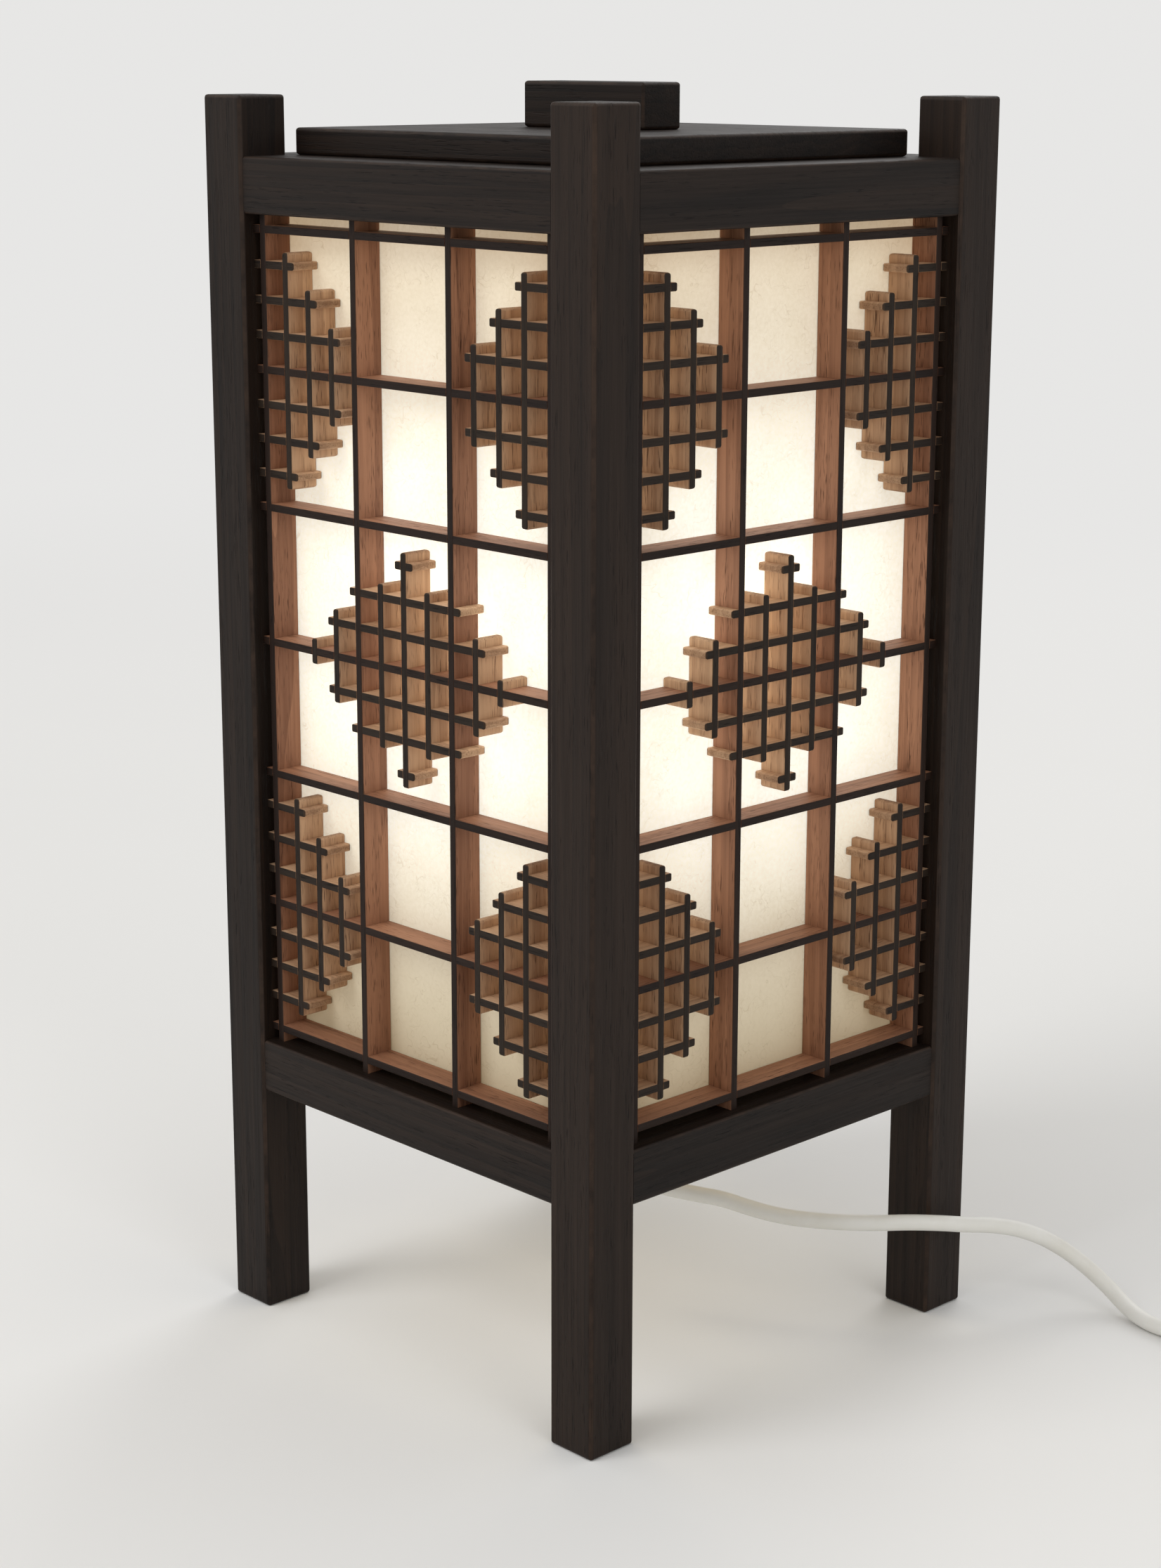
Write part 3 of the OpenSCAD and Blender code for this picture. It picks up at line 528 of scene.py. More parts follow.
class Finish:
    """A finish that can make its material."""

    name: str

    def start(self) -> tuple[bpy.types.Material, Graph, bpy.types.Node, Socket, Socket]:
        """Start a material.

        Returns:
            The material, its builder, its Principled node, the place and the facing.
        """
        material = bpy.data.materials.new(self.name)
        material.use_nodes = True
        graph = Graph(material.node_tree)
        shader = material.node_tree.nodes["Principled BSDF"]
        where = graph.add("ShaderNodeTexCoord")
        return material, graph, shader, where.outputs["Object"], where.outputs["Normal"]

    def bump(self, graph: Graph, shader: bpy.types.Node, height: Value, strength: float,
             distance: float) -> None:
        """Join a height to the shader's normal.

        Args:
            graph: the material's builder.
            shader: its Principled node.
            height: the height's socket.
            strength: strength of the bump.
            distance: how deep it reads, in metres.
        """
        node = graph.add("ShaderNodeBump")
        for key, value in (("Strength", strength), ("Distance", distance), ("Height", height)):
            graph.feed(node.inputs[key], value)
        graph.feed(shader.inputs["Normal"], node.outputs[0])

    def skin(self, graph: Graph, shader: bpy.types.Node, colour: Value, gloss: Value,
             rough: tuple[float, float], specular: Optional[float] = None) -> None:
        """Join a colour and a gloss to the shader.

        Args:
            graph: the material's builder.
            shader: its Principled node.
            colour: the colour.
            gloss: 0 where it is dullest, 1 where it shines most.
            rough: roughness at a gloss of 1 and at a gloss of 0.
            specular: the Specular IOR Level, where it isn't left as it is.
        """
        graph.feed(shader.inputs["Base Color"], colour)
        graph.feed(shader.inputs["Roughness"], graph.spread(gloss, 0.0, 1.0, rough[1], rough[0]))
        if specular is not None:
            shader.inputs["Specular IOR Level"].default_value = specular


@dataclass(frozen=True)
class WoodFinish(Finish):
    """Oiled or sanded wood.

    Attributes:
        deep: its darkest shade.
        pale: its lightest shade.
        worn: its shade on rubbed arrises.
        pore_depth: how far the pores darken it.
        fineness: how fine its grain is.
        rough: roughness where it shines most and least.
        wear: how far its arrises are rubbed.
        relief: how deep its grain reads, in metres.
        front_shade: painted shade on its front edges, where the lamp's light doesn't reach.
    """

    name: str
    deep: Colour
    pale: Colour
    worn: Colour
    pore_depth: float
    fineness: float
    rough: tuple[float, float]
    wear: float
    relief: float
    front_shade: float = 1.0

    def build(self, effects: Effects, grain: Axis, front: Optional[Axis] = None
              ) -> bpy.types.Material:
        """Make the material for one way of the grain.

        Args:
            effects: the shared node groups.
            grain: the way the wood runs.
            front: the way its front edges face, which get painted shade.

        Returns:
            The material.
        """
        material, g, shader, place, facing = self.start()
        ways = [axis.name.lower() for axis in (grain, front) if axis]
        material.name = "_".join([self.name, *ways])
        tone = g.add("ShaderNodeAttribute", attribute_type="GEOMETRY", attribute_name=TONE)
        wood = g.use(effects.wood, Place=g.mapped(place, grain.turn),
                     Facing=g.mapped(facing, grain.turn), Tone=tone.outputs["Fac"], Deep=self.deep,
                     Pale=self.pale, Pore_Depth=self.pore_depth, Fineness=self.fineness)
        wear = g.use(effects.wear, Place=place, Facing=facing, Amount=self.wear)
        colour = wood.outputs["Color"]
        # Painted shade: the front edges, which the lamp's light doesn't reach, are darkened by
        # front_shade.
        if front:
            outer = g.spread(g.math("ABSOLUTE", g.parts(facing)[front.value]), 0.30, 0.62)
            shade = (self.front_shade, self.front_shade * 0.95, self.front_shade * 0.92)
            colour = g.mix(outer, colour, g.tinted(colour, shade))
        self.skin(g, shader, g.mix(wear.outputs["Mask"], colour, self.worn), wood.outputs["Gloss"],
                  self.rough, 0.18)
        self.bump(g, shader, wood.outputs["Height"], 0.6, self.relief)
        return material


@dataclass(frozen=True)
class PaperFinish(Finish):
    """Thin fibrous paper with light behind it.

    Attributes:
        sheet: colour of the sheet.
        strand: colour of its fibres.
        strength: how brightly it shines.
        cast: how much more of that falls on what is round it.
    """

    name: str
    sheet: Colour
    strand: Colour
    strength: float
    cast: float

    def build(self, effects: Effects) -> bpy.types.Material:
        """Make the material.

        Args:
            effects: the shared node groups.

        Returns:
            The material.
        """
        material, g, shader, place, _ = self.start()
        paper = g.use(effects.fibres, Place=place)
        glow = g.use(effects.glow, Place=place).outputs["Color"]
        fibres = paper.outputs["Fibres"]
        g.feed(shader.inputs["Base Color"], g.mix(g.times(fibres, 0.5), self.sheet, self.strand))
        clouds = g.times(paper.outputs["Clouds"], 0.85)
        lit = g.mix(clouds, glow, g.tinted(glow, (0.80, 0.76, 0.68)))
        lit = g.mix(g.times(fibres, 0.30), lit, g.tinted(lit, (0.60, 0.50, 0.38)))
        path = g.add("ShaderNodeLightPath")
        cast = g.tinted(lit, (self.cast, self.cast, self.cast))
        g.feed(shader.inputs["Emission Color"], g.mix(path.outputs["Is Camera Ray"], cast, lit))
        for key, value in (("Emission Strength", self.strength), ("Roughness", 0.85),
                           ("Specular IOR Level", 0.25)):
            shader.inputs[key].default_value = value
        self.bump(g, shader, paper.outputs["Height"], 0.5, 0.2 * MM)
        return material


@dataclass(frozen=True)
class GlazeFinish(Finish):
    """White glazed porcelain."""

    name: str
    white: Colour
    pooled: Colour
    rough: float

    def build(self, effects: Effects) -> bpy.types.Material:
        """Make the material.

        Args:
            effects: the shared node groups, not used.

        Returns:
            The material.
        """
        material, g, shader, place, _ = self.start()
        pooling = g.noise(place, 95.0, 3.0, 0.55)
        speck = g.spread(g.noise(place, 1300.0, 1.0), 0.73, 0.78)
        glaze = g.mix(g.spread(pooling, 0.35, 0.7), self.white, self.pooled)
        g.feed(shader.inputs["Base Color"], g.mix(g.times(speck, 0.6), glaze, (0.33, 0.29, 0.23)))
        g.feed(shader.inputs["Roughness"],
               g.spread(pooling, 0.3, 0.7, self.rough, self.rough + 0.10))
        shader.inputs["Coat Weight"].default_value = 0.6
        shader.inputs["Coat Roughness"].default_value = 0.06
        self.bump(g, shader, pooling, 0.25, 0.6 * MM)
        return material


@dataclass(frozen=True)
class MetalFinish(Finish):
    """Plain or plated metal, a little dulled."""

    name: str
    bright: Colour
    dull: Colour
    rough: tuple[float, float]

    def build(self, effects: Effects) -> bpy.types.Material:
        """Make the material.

        Args:
            effects: the shared node groups.

        Returns:
            The material.
        """
        material, g, shader, place, _ = self.start()
        metal = g.use(effects.tarnish, Place=place, Bright=self.bright, Dull=self.dull)
        self.skin(g, shader, metal.outputs["Color"], metal.outputs["Gloss"], self.rough)
        shader.inputs["Metallic"].default_value = 1.0
        self.bump(g, shader, metal.outputs["Height"], 0.2, 0.08 * MM)
        return material


@dataclass(frozen=True)
class PlasticFinish(Finish):
    """Moulded plastic or a soft sheath."""

    name: str
    base: Colour
    rough: tuple[float, float]
    grain: float
    soiling: float

    def build(self, effects: Effects) -> bpy.types.Material:
        """Make the material.

        Args:
            effects: the shared node groups.

        Returns:
            The material.
        """
        material, g, shader, place, _ = self.start()
        skin = g.use(effects.moulding, Place=place, Base=self.base, Soiling=self.soiling)
        self.skin(g, shader, skin.outputs["Color"], skin.outputs["Gloss"], self.rough)
        self.bump(g, shader, skin.outputs["Height"], 0.3, self.grain)
        return material


@dataclass(frozen=True)
class GlassFinish(Finish):
    """Glass frosted on its inside, lit.

    Attributes:
        frost: its two shades.
        light: its light, and a veil of shade on it.
        neck: share of the light at its neck.
        heights: where the neck's shade starts and ends.
        strength: how brightly it shines.
    """

    name: str
    frost: tuple[Colour, Colour]
    light: tuple[Colour, Colour]
    neck: Colour
    heights: tuple[float, float]
    strength: float

    def build(self, effects: Effects) -> bpy.types.Material:
        """Make the material.

        Args:
            effects: the shared node groups, not used.

        Returns:
            The material.
        """
        material, g, shader, place, _ = self.start()
        cloud = g.noise(place, 160.0, 3.0, 0.6)
        height = g.spread(g.parts(place)[2], *self.heights)
        g.feed(shader.inputs["Base Color"], g.mix(g.spread(cloud, 0.3, 0.7), *self.frost))
        veil = g.mix(g.spread(cloud, 0.3, 0.7, 0.0, 0.3), *self.light)
        low = g.tinted(self.light[0], self.neck)
        g.feed(shader.inputs["Emission Color"], g.mix(height, low, veil))
        shader.inputs["Emission Strength"].default_value = self.strength
        g.feed(shader.inputs["Roughness"], g.spread(cloud, 0.3, 0.7, 0.16, 0.26))
        return material


DARK_WOOD = WoodFinish(
    "dark_walnut", deep=(0.0060, 0.0034, 0.0023), pale=(0.0215, 0.0122, 0.0078),
    worn=(0.052, 0.030, 0.019), pore_depth=0.75, fineness=1.0, rough=(0.46, 0.70), wear=0.5,
    relief=0.22 * MM)
LONG_STRIP_WOOD = WoodFinish(
    "lattice_wood_long", deep=(0.165, 0.072, 0.040), pale=(0.345, 0.170, 0.098),
    worn=(0.16, 0.085, 0.050), pore_depth=0.95, fineness=1.25, rough=(0.52, 0.74), wear=0.2,
    relief=0.18 * MM, front_shade=0.05)
SHORT_STRIP_WOOD = WoodFinish(
    "lattice_wood_short", deep=(0.330, 0.190, 0.108), pale=(0.600, 0.395, 0.245),
    worn=(0.20, 0.115, 0.068), pore_depth=0.95, fineness=1.25, rough=(0.52, 0.74), wear=0.2,
    relief=0.18 * MM, front_shade=0.035)
PAPER = PaperFinish("washi", sheet=(0.44, 0.395, 0.30), strand=(0.32, 0.27, 0.19), strength=2.6,
                    cast=1.7)
PORCELAIN = GlazeFinish("porcelain", (0.86, 0.85, 0.81), (0.80, 0.79, 0.74), 0.10)
BRASS = MetalFinish("brass", (0.80, 0.60, 0.28), (0.42, 0.29, 0.13), (0.20, 0.45))
NICKEL = MetalFinish("nickel", (0.74, 0.72, 0.68), (0.52, 0.50, 0.47), (0.16, 0.36))
STEEL = MetalFinish("steel", (0.66, 0.66, 0.67), (0.44, 0.44, 0.46), (0.22, 0.45))
GLASS = GlassFinish(
    "frosted_glass", frost=((0.50, 0.48, 0.43), (0.44, 0.42, 0.37)),
    light=((1.0, 0.88, 0.67), (0.80, 0.66, 0.44)), neck=(0.50, 0.38, 0.25),
    heights=(0.232, 0.268), strength=0.92)
WHITE_PLASTIC = PlasticFinish("white_plastic", (0.80, 0.79, 0.755), (0.34, 0.46), grain=0.06 * MM,
                              soiling=0.30)
GREY_PLASTIC = PlasticFinish("grey_plastic", (0.68, 0.67, 0.64), (0.22, 0.34), grain=0.03 * MM,
                             soiling=0.30)
LEAD_SHEATH = PlasticFinish("white_lead", (0.79, 0.78, 0.74), (0.40, 0.55), grain=0.08 * MM,
                            soiling=0.35)


# Shaping


def alone(obj: bpy.types.Object) -> None:
    """Select one object only and make it active."""
    bpy.ops.object.select_all(action="DESELECT")
    obj.select_set(True)
    bpy.context.view_layer.objects.active = obj


def edited(obj: bpy.types.Object, work: Callable[[], None]) -> None:
    """Do some work on an object in edit mode with all of it selected.

    Args:
        obj: the object to shape.
        work: the operators to run.
    """
    alone(obj)
    bpy.ops.object.mode_set(mode="EDIT")
    bpy.ops.mesh.select_all(action="SELECT")
    work()
    bpy.ops.object.mode_set(mode="OBJECT")


def apply_modifier(obj: bpy.types.Object, kind: str, **settings: object) -> None:
    """Add a modifier with its settings and apply it.

    Args:
        obj: the object to change.
        kind: the modifier's type.
        settings: the modifier's settings by name.
    """
    alone(obj)
    modifier = obj.modifiers.new(kind.lower(), kind)
    for key, value in settings.items():
        setattr(modifier, key, value)
    bpy.ops.object.modifier_apply(modifier=modifier.name)


def smoothed(obj: bpy.types.Object, degrees: float = 35.0) -> None:
    """Shade smooth up to an angle, with flat faces kept flat.

    Args:
        obj: the object to shade.
        degrees: edges sharper than this stay sharp.
    """
    alone(obj)
    bpy.ops.object.shade_smooth_by_angle(angle=math.radians(degrees))
    apply_modifier(obj, "WEIGHTED_NORMAL", keep_sharp=True, weight=80)


def settled(obj: bpy.types.Object) -> None:
    """Move an object's place into its mesh."""
    alone(obj)
    bpy.ops.object.transform_apply(location=True, rotation=True, scale=True)


def islands(mesh: bmesh.types.BMesh) -> list[list[bmesh.types.BMVert]]:
    """Split a mesh into its loose pieces.

    Args:
        mesh: the mesh to walk.

    Returns:
        The vertices of each loose piece.
    """
    seen: set[bmesh.types.BMVert] = set()
    found: list[list[bmesh.types.BMVert]] = []
    for start in mesh.verts:
        if start in seen:
            continue
        seen.add(start)
        piece, waiting = [], [start]
        while waiting:
            vert = waiting.pop()
            piece.append(vert)
            for edge in vert.link_edges:
                other = edge.other_vert(vert)
                if other not in seen:
                    seen.add(other)
                    waiting.append(other)
        found.append(piece)
    return found


def extent(verts: Iterable[bmesh.types.BMVert]) -> tuple[list[float], list[float]]:
    """The least and the greatest X, Y and Z of some vertices."""
    rows = list(zip(*(v.co for v in verts)))
    return [min(row) for row in rows], [max(row) for row in rows]


def sharp(edge: bmesh.types.BMEdge) -> bool:
    """Whether an edge parts two faces that meet at an angle."""
    return len(edge.link_faces) == 2 and edge.calc_face_angle(0.0) >= FLAT


def picked(obj: bpy.types.Object, kind: str, test: Callable[..., bool]) -> None:
    """Select the edges or faces of an object in edit mode that pass a test, and no others.

    Args:
        obj: the object being edited.
        kind: edges or faces.
        test: says whether one of them is to be selected.
    """
    bpy.ops.mesh.select_all(action="DESELECT")
    mesh = bmesh.from_edit_mesh(obj.data)
    for part in getattr(mesh, kind):
        part.select_set(test(part))
    bmesh.update_edit_mesh(obj.data)


def carried(node: str, name: str) -> bpy.types.Object:
    """Copy a CAD node as one clean mesh.

    Args:
        node: the CAD node.
        name: the new piece's name.

    Returns:
        The new piece, with its triangles merged into whole faces.
    """
    piece = bpy.data.objects.new(name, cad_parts[node].data.copy())
    piece.data.name = name
    piece.data.materials.clear()
    bpy.context.scene.collection.objects.link(piece)

    def clean() -> None:
        """Merge the loose triangles and drop the lines inside flat faces."""
        bpy.ops.mesh.remove_doubles(threshold=WELD)
        bpy.ops.mesh.dissolve_limited(angle_limit=COPLANAR)

    edited(piece, clean)
    return piece


@dataclass(frozen=True)
class Arris:
    """How the outer edges of a wooden piece are eased.

    Attributes:
        width: width of an eased end edge.
        long_share: share of it that the long edges get.
        reach: how far from its box an outer edge may lie.
        steps: faces across the eased edge.
    """

    width: float
    long_share: float = 1.0
    reach: float = ON_PLANE
    steps: int = 2


def ease(piece: bpy.types.Object, arris: Arris, grain: Axis, seed: str) -> None:
    """Round a piece's outer edges and give each loose part its own tone.

    Args:
        piece: the piece to ease.
        arris: how its edges are eased.
        grain: the way the wood runs.
        seed: name that fixes the random tones.
    """
    draw = random.Random(seed)
    mesh = bmesh.new()
    mesh.from_mesh(piece.data)
    weight = mesh.edges.layers.float.new(WEIGHT)
    tone = mesh.verts.layers.float.new(TONE)
    for part in islands(mesh):
        shade = draw.random()
        low, high = extent(part)
        for vert in part:
            vert[tone] = shade
            for edge in filter(sharp, vert.link_edges):
                planes = [k for k in range(3) for side in (low, high)
                          if all(abs(end.co[k] - side[k]) <= arris.reach for end in edge.verts)]
                if len(planes) >= 2:
                    edge[weight] = 1.0 if grain.value in planes else arris.long_share
    mesh.to_mesh(piece.data)
    mesh.free()
    apply_modifier(piece, "BEVEL", width=arris.width, segments=arris.steps, limit_method="WEIGHT",
                   use_clamp_overlap=True)
    smoothed(piece)


def soften(piece: bpy.types.Object, width: float, steps: int, degrees: float) -> None:
    """Round every sharp edge of a piece a little.

    Args:
        piece: the piece to soften.
        width: width of the rounding.
        steps: faces across it.
        degrees: edges flatter than this are left.
    """
    apply_modifier(piece, "BEVEL", width=width, segments=steps, limit_method="ANGLE",
                   angle_limit=math.radians(degrees), use_clamp_overlap=True)
    smoothed(piece)


@dataclass(frozen=True)
class MouldedEdge:
    """How one half of a moulding is rounded.

    Attributes:
        width: width of the rounding on its closed rim and upright corners.
        corner: size of its cut corners, the reach within which an edge is an outer one.
        line_share: share of the width that the parting line gets.
        steps: faces across the rounding.
    """

    width: float = 0.9 * MM
    corner: float = 1.6 * MM
    line_share: float = 0.3
    steps: int = 3


def moulded(half: bpy.types.Object, rim: float, edges: MouldedEdge) -> None:
    """Round the outer rim and upright corners of a half, and ease its parting line.

    Args:
        half: the half to round.
        rim: height of its closed side.
        edges: how its edges are rounded.
    """
    mesh = bmesh.new()
    mesh.from_mesh(half.data)
    weight = mesh.edges.layers.float.new(WEIGHT)
    low, high = extent(mesh.verts)
    parting = high[2] if abs(rim - low[2]) < abs(rim - high[2]) else low[2]
    for edge in filter(sharp, mesh.edges):
        ends = [v.co for v in edge.verts]
        near = [all(min(co[k] - low[k], high[k] - co[k]) < edges.corner for co in ends)
                for k in range(2)]
        if any(near) and all(abs(co.z - rim) < ON_PLANE for co in ends):
            edge[weight] = 1.0
        elif any(near) and all(abs(co.z - parting) < ON_PLANE for co in ends):
            edge[weight] = edges.line_share
        elif all(near) and abs(ends[0].z - ends[1].z) > edges.width:
            edge[weight] = 1.0
    mesh.to_mesh(half.data)
    mesh.free()
    apply_modifier(half, "BEVEL", width=edges.width, segments=edges.steps, limit_method="WEIGHT",
                   use_clamp_overlap=True)
    smoothed(half)


def turned(name: str, outline: Sequence[tuple[float, float]], sides: int) -> bpy.types.Object:
    """Turn a closed outline round the Z axis: a ring is extruded and resized from point to point.

    Args:
        name: the piece's name.
        outline: radius and height of each point, in metres, the last joined to the first.
        sides: faces round it.

    Returns:
        The turned piece.
    """
    bpy.ops.object.select_all(action="DESELECT")
    radius, height = outline[0]
    bpy.ops.mesh.primitive_circle_add(vertices=sides, radius=radius, location=(0.0, 0.0, height))
    piece = bpy.context.active_object
    piece.name = piece.data.name = name
    settled(piece)

    def shape() -> None:
        """Extrude the ring along the outline and close it."""
        now_r, now_z = radius, height
        for next_r, next_z in [*outline[1:], outline[0]]:
            rise = (0.0, 0.0, next_z - now_z)
            bpy.ops.mesh.extrude_region_move(TRANSFORM_OT_translate={"value": rise})
            grow = next_r / now_r
            bpy.ops.transform.resize(value=(grow, grow, 1.0), center_override=(0.0, 0.0, next_z))
            now_r, now_z = next_r, next_z
        bpy.ops.mesh.select_all(action="SELECT")
        bpy.ops.mesh.remove_doubles(threshold=2 * WELD)
        bpy.ops.mesh.normals_make_consistent(inside=False)

    edited(piece, shape)
    return piece


def arc(centre: tuple[float, float], radius: float, start: float, end: float, steps: int
        ) -> list[tuple[float, float]]:
    """Points on an arc of an outline.

    Args:
        centre: radius and height of the arc's centre.
        radius: the arc's radius.
        start: first angle in degrees, 0 outwards and 90 up.
        end: last angle in degrees.
        steps: stretches between the points.

    Returns:
        The points, both ends with them.
    """
    turn = [math.radians(start + (end - start) * k / steps) for k in range(steps + 1)]
    return [(centre[0] + radius * math.cos(a), centre[1] + radius * math.sin(a)) for a in turn]


@dataclass
class Workshop:
    """Makes materials once and hands finished pieces to the frame."""

    effects: Effects = field(default_factory=Effects)
    made: dict[str, bpy.types.Material] = field(default_factory=dict)

    def material(self, finish: Finish, *axes: Axis) -> bpy.types.Material:
        """Find or make a material.

        Args:
            finish: the finish wanted.
            axes: for wood, the way it runs and the way its front edges face.

        Returns:
            The material.
        """
        key = f"{finish.name}:{axes}"
        if key not in self.made:
            self.made[key] = finish.build(self.effects, *axes)
        return self.made[key]

    def dress(self, piece: bpy.types.Object, finish: Finish, *axes: Axis) -> None:
        """Give a piece one material all over."""
        piece.data.materials.clear()
        piece.data.materials.append(self.material(finish, *axes))

    def hand_over(self, piece: bpy.types.Object, body: Body, slot: str, *nodes: str
                  ) -> bpy.types.Object:
        """Set a piece on its body in place of its CAD nodes, and log its slot.

        Args:
            piece: the finished piece.
            body: the body it rides on.
            slot: the record's material slot, named in the log.
            nodes: the CAD nodes that it stands for.

        Returns:
            The same piece.
        """
        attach(piece, body.value)
        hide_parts(*nodes)
        log.info("%s rides on %s, finish %s", piece.name, body.value, slot)
        return piece

    def fitting(self, node: str, name: str, finish: Finish, body: Body = Body.FRAME,
                width: float = 0.0, steps: int = 2, degrees: float = 40.0) -> bpy.types.Object:
        """Make a small fitting from its CAD node and hand it over.

        Args:
            node: the CAD node.
            name: the fitting's name.
            finish: its finish, which has its slot's name.
            body: the body it rides on.
            width: width of the rounding on its edges, 0 for none.
            steps: faces across the rounding.
            degrees: edges flatter than this stay smooth.

        Returns:
            The fitting.
        """
        piece = carried(node, name)
        if width:
            soften(piece, width, steps, degrees)
        else:
            smoothed(piece, degrees)
        self.dress(piece, finish)
        return self.hand_over(piece, body, finish.name, node)


# The studio


@dataclass
class Studio:
    """The floor, the light and the camera of the photograph."""

    camera_at: Point = (0.80984, -0.78769, 0.49822)
    camera_right: Point = (0.69231, 0.72159, 0.00190)
    camera_up: Point = (-0.17604, 0.16633, 0.97023)
    camera_back: Point = (0.69980, -0.67204, 0.24218)
    lens: float = 68.03
    sensor: float = 36.0
    floor_radius: float = 9.0
    floor_colour: Colour = (0.82, 0.815, 0.80)
    sky_colour: Colour = (0.80, 0.795, 0.785)
    sky_light: float = 0.62
    floor_ends: tuple[float, float] = (0.6, 2.4)
    aim: Point = (0.0, 0.0, 0.22)
    lamps: tuple[tuple[str, Point, float, float], ...] = (
        ("key", (-0.5, -2.2, 2.1), 1.8, 34.0), ("fill", (2.4, -0.4, 1.5), 1.8, 12.0),
        ("back", (-0.9, 2.2, 1.9), 1.6, 16.0))

    def set_camera(self) -> None:
        """Stand the camera where the photograph was taken."""
        data = bpy.data.cameras.new("photograph_camera")
        data.sensor_fit = "VERTICAL"
        data.sensor_width = data.sensor_height = self.sensor
        data.lens = self.lens
        data.clip_start, data.clip_end = 0.01, 100.0
        camera = bpy.data.objects.new("photograph_camera", data)
        bpy.context.scene.collection.objects.link(camera)
        turn = Matrix((self.camera_right, self.camera_up, self.camera_back)).transposed()
        camera.matrix_world = Matrix.Translation(self.camera_at) @ turn.to_4x4()
        bpy.context.scene.camera = camera
        log.info("camera stands at %s", self.camera_at)

    def lay_floor(self) -> None:
        """Lay a plain pale floor that passes into the backdrop."""
        bpy.ops.object.select_all(action="DESELECT")
        bpy.ops.mesh.primitive_circle_add(vertices=96, radius=self.floor_radius, fill_type="NGON")
        floor = bpy.context.active_object
        floor.name = "studio_floor"
        material = bpy.data.materials.new("studio_floor")
        material.use_nodes = True
        g = Graph(material.node_tree)
        shader = material.node_tree.nodes["Principled BSDF"]
        where = g.add("ShaderNodeTexCoord")
        cloud = g.noise(where.outputs["Object"], 2.0, 3.0)
        duller = tuple(0.985 * c for c in self.floor_colour)
        g.feed(shader.inputs["Base Color"],
               g.mix(g.spread(cloud, 0.3, 0.7), self.floor_colour, duller))
        shader.inputs["Roughness"].default_value = 0.8
        shader.inputs["Specular IOR Level"].default_value = 0.1
        backdrop = g.add("ShaderNodeEmission")
        backdrop.inputs["Color"].default_value = (*self.sky_colour, 1.0)
        away = g.spread(g.vector("LENGTH", where.outputs["Object"], out="Value"), *self.floor_ends)
        away.node.interpolation_type = "SMOOTHSTEP"
        blend = g.add("ShaderNodeMixShader")
        for socket, value in zip(blend.inputs, (g.times(away, self.seen(g)), shader.outputs[0],
                                                backdrop.outputs[0])):
            g.feed(socket, value)
        g.feed(material.node_tree.nodes["Material Output"].inputs["Surface"], blend.outputs[0])
        floor.data.materials.append(material)

    def seen(self, g: Graph) -> Socket:
        """One where a ray comes from the camera, a gloss or glass."""
        rays = g.add("ShaderNodeLightPath").outputs
        return g.most(rays["Is Camera Ray"],
                      g.most(rays["Is Glossy Ray"], rays["Is Transmission Ray"]))

    def light(self) -> None:
        """Light the object softly at a plain level."""
        world = bpy.data.worlds.new("studio_world")
        world.use_nodes = True
        bpy.context.scene.world = world
        g = Graph(world.node_tree)
        back = world.node_tree.nodes["Background"]
        back.inputs["Color"].default_value = (*self.sky_colour, 1.0)
        unseen = self.sky_light / self.sky_colour[0]
        g.feed(back.inputs["Strength"], g.spread(self.seen(g), 0.0, 1.0, unseen, 1.0))
        for name, place, size, power in self.lamps:
            data = bpy.data.lights.new(name, "AREA")
            data.shape, data.size, data.energy = "DISK", size, power
            lamp = bpy.data.objects.new(name, data)
            bpy.context.scene.collection.objects.link(lamp)
            turn = (Vector(self.aim) - Vector(place)).to_track_quat("-Z", "Y")
            lamp.matrix_world = Matrix.Translation(place) @ turn.to_matrix().to_4x4()
        log.info("studio lit")


# The lead

LEAD_RADIUS = 3.2 * MM


@dataclass
class Sleeve:
    """A tapered rubber sleeve with shallow rings round the lead.

    Attributes:
        length: its length.
        bore: radius of its hole, a little under the lead's.
        root: radius where it leaves its fitting.
        tip: radius at its free end.
        rings: how many grooves it has.
        groove: how deep they are.
        lip: rounding of its free end.
        sides: faces round it.
    """

    length: float = 20.0 * MM
    bore: float = 0.98 * LEAD_RADIUS
    root: float = 6.0 * MM
    tip: float = 4.4 * MM
    rings: int = 4
    groove: float = 0.5 * MM
    lip: float = 0.6 * MM
    sides: int = 40

    def radius(self, z: float) -> float:
        """The sleeve's radius at a height."""
        return self.root + (self.tip - self.root) * z / self.length

    def build(self, shop: Workshop, name: str, at: Point, turn: Matrix) -> bpy.types.Object:
        """Make the sleeve along +Z from its root, then turn it and stand it at its place.

        Args:
            shop: makes its material.
            name: the piece's name.
            at: where its root stands.
            turn: the turn from +Z.

        Returns:
            The sleeve.
        """
        land = self.length / (2 * self.rings + 1)
        slope, shoulder = 0.25 * land, 0.3 * self.groove
        outline = [(self.bore, 0.0), (self.root, 0.0)]
        for k in range(self.rings):
            low, high = (2 * k + 1) * land, (2 * k + 2) * land
            for z, into in ((low, slope), (high, -slope)):
                step = [(self.radius(z), z - into), (self.radius(z) - shoulder, z),
                        (self.radius(z) - self.groove, z + into)]
                outline += step if z == low else reversed(step)
        outline += arc((self.tip - self.lip, self.length - self.lip), self.lip, 0, 90, 3)
        outline.append((self.bore, self.length))
        piece = turned(name, outline, self.sides)
        smoothed(piece, 50)
        shop.dress(piece, WHITE_PLASTIC)
        piece.data.transform(Matrix.Translation(at) @ turn)
        piece.data.update()
        return piece


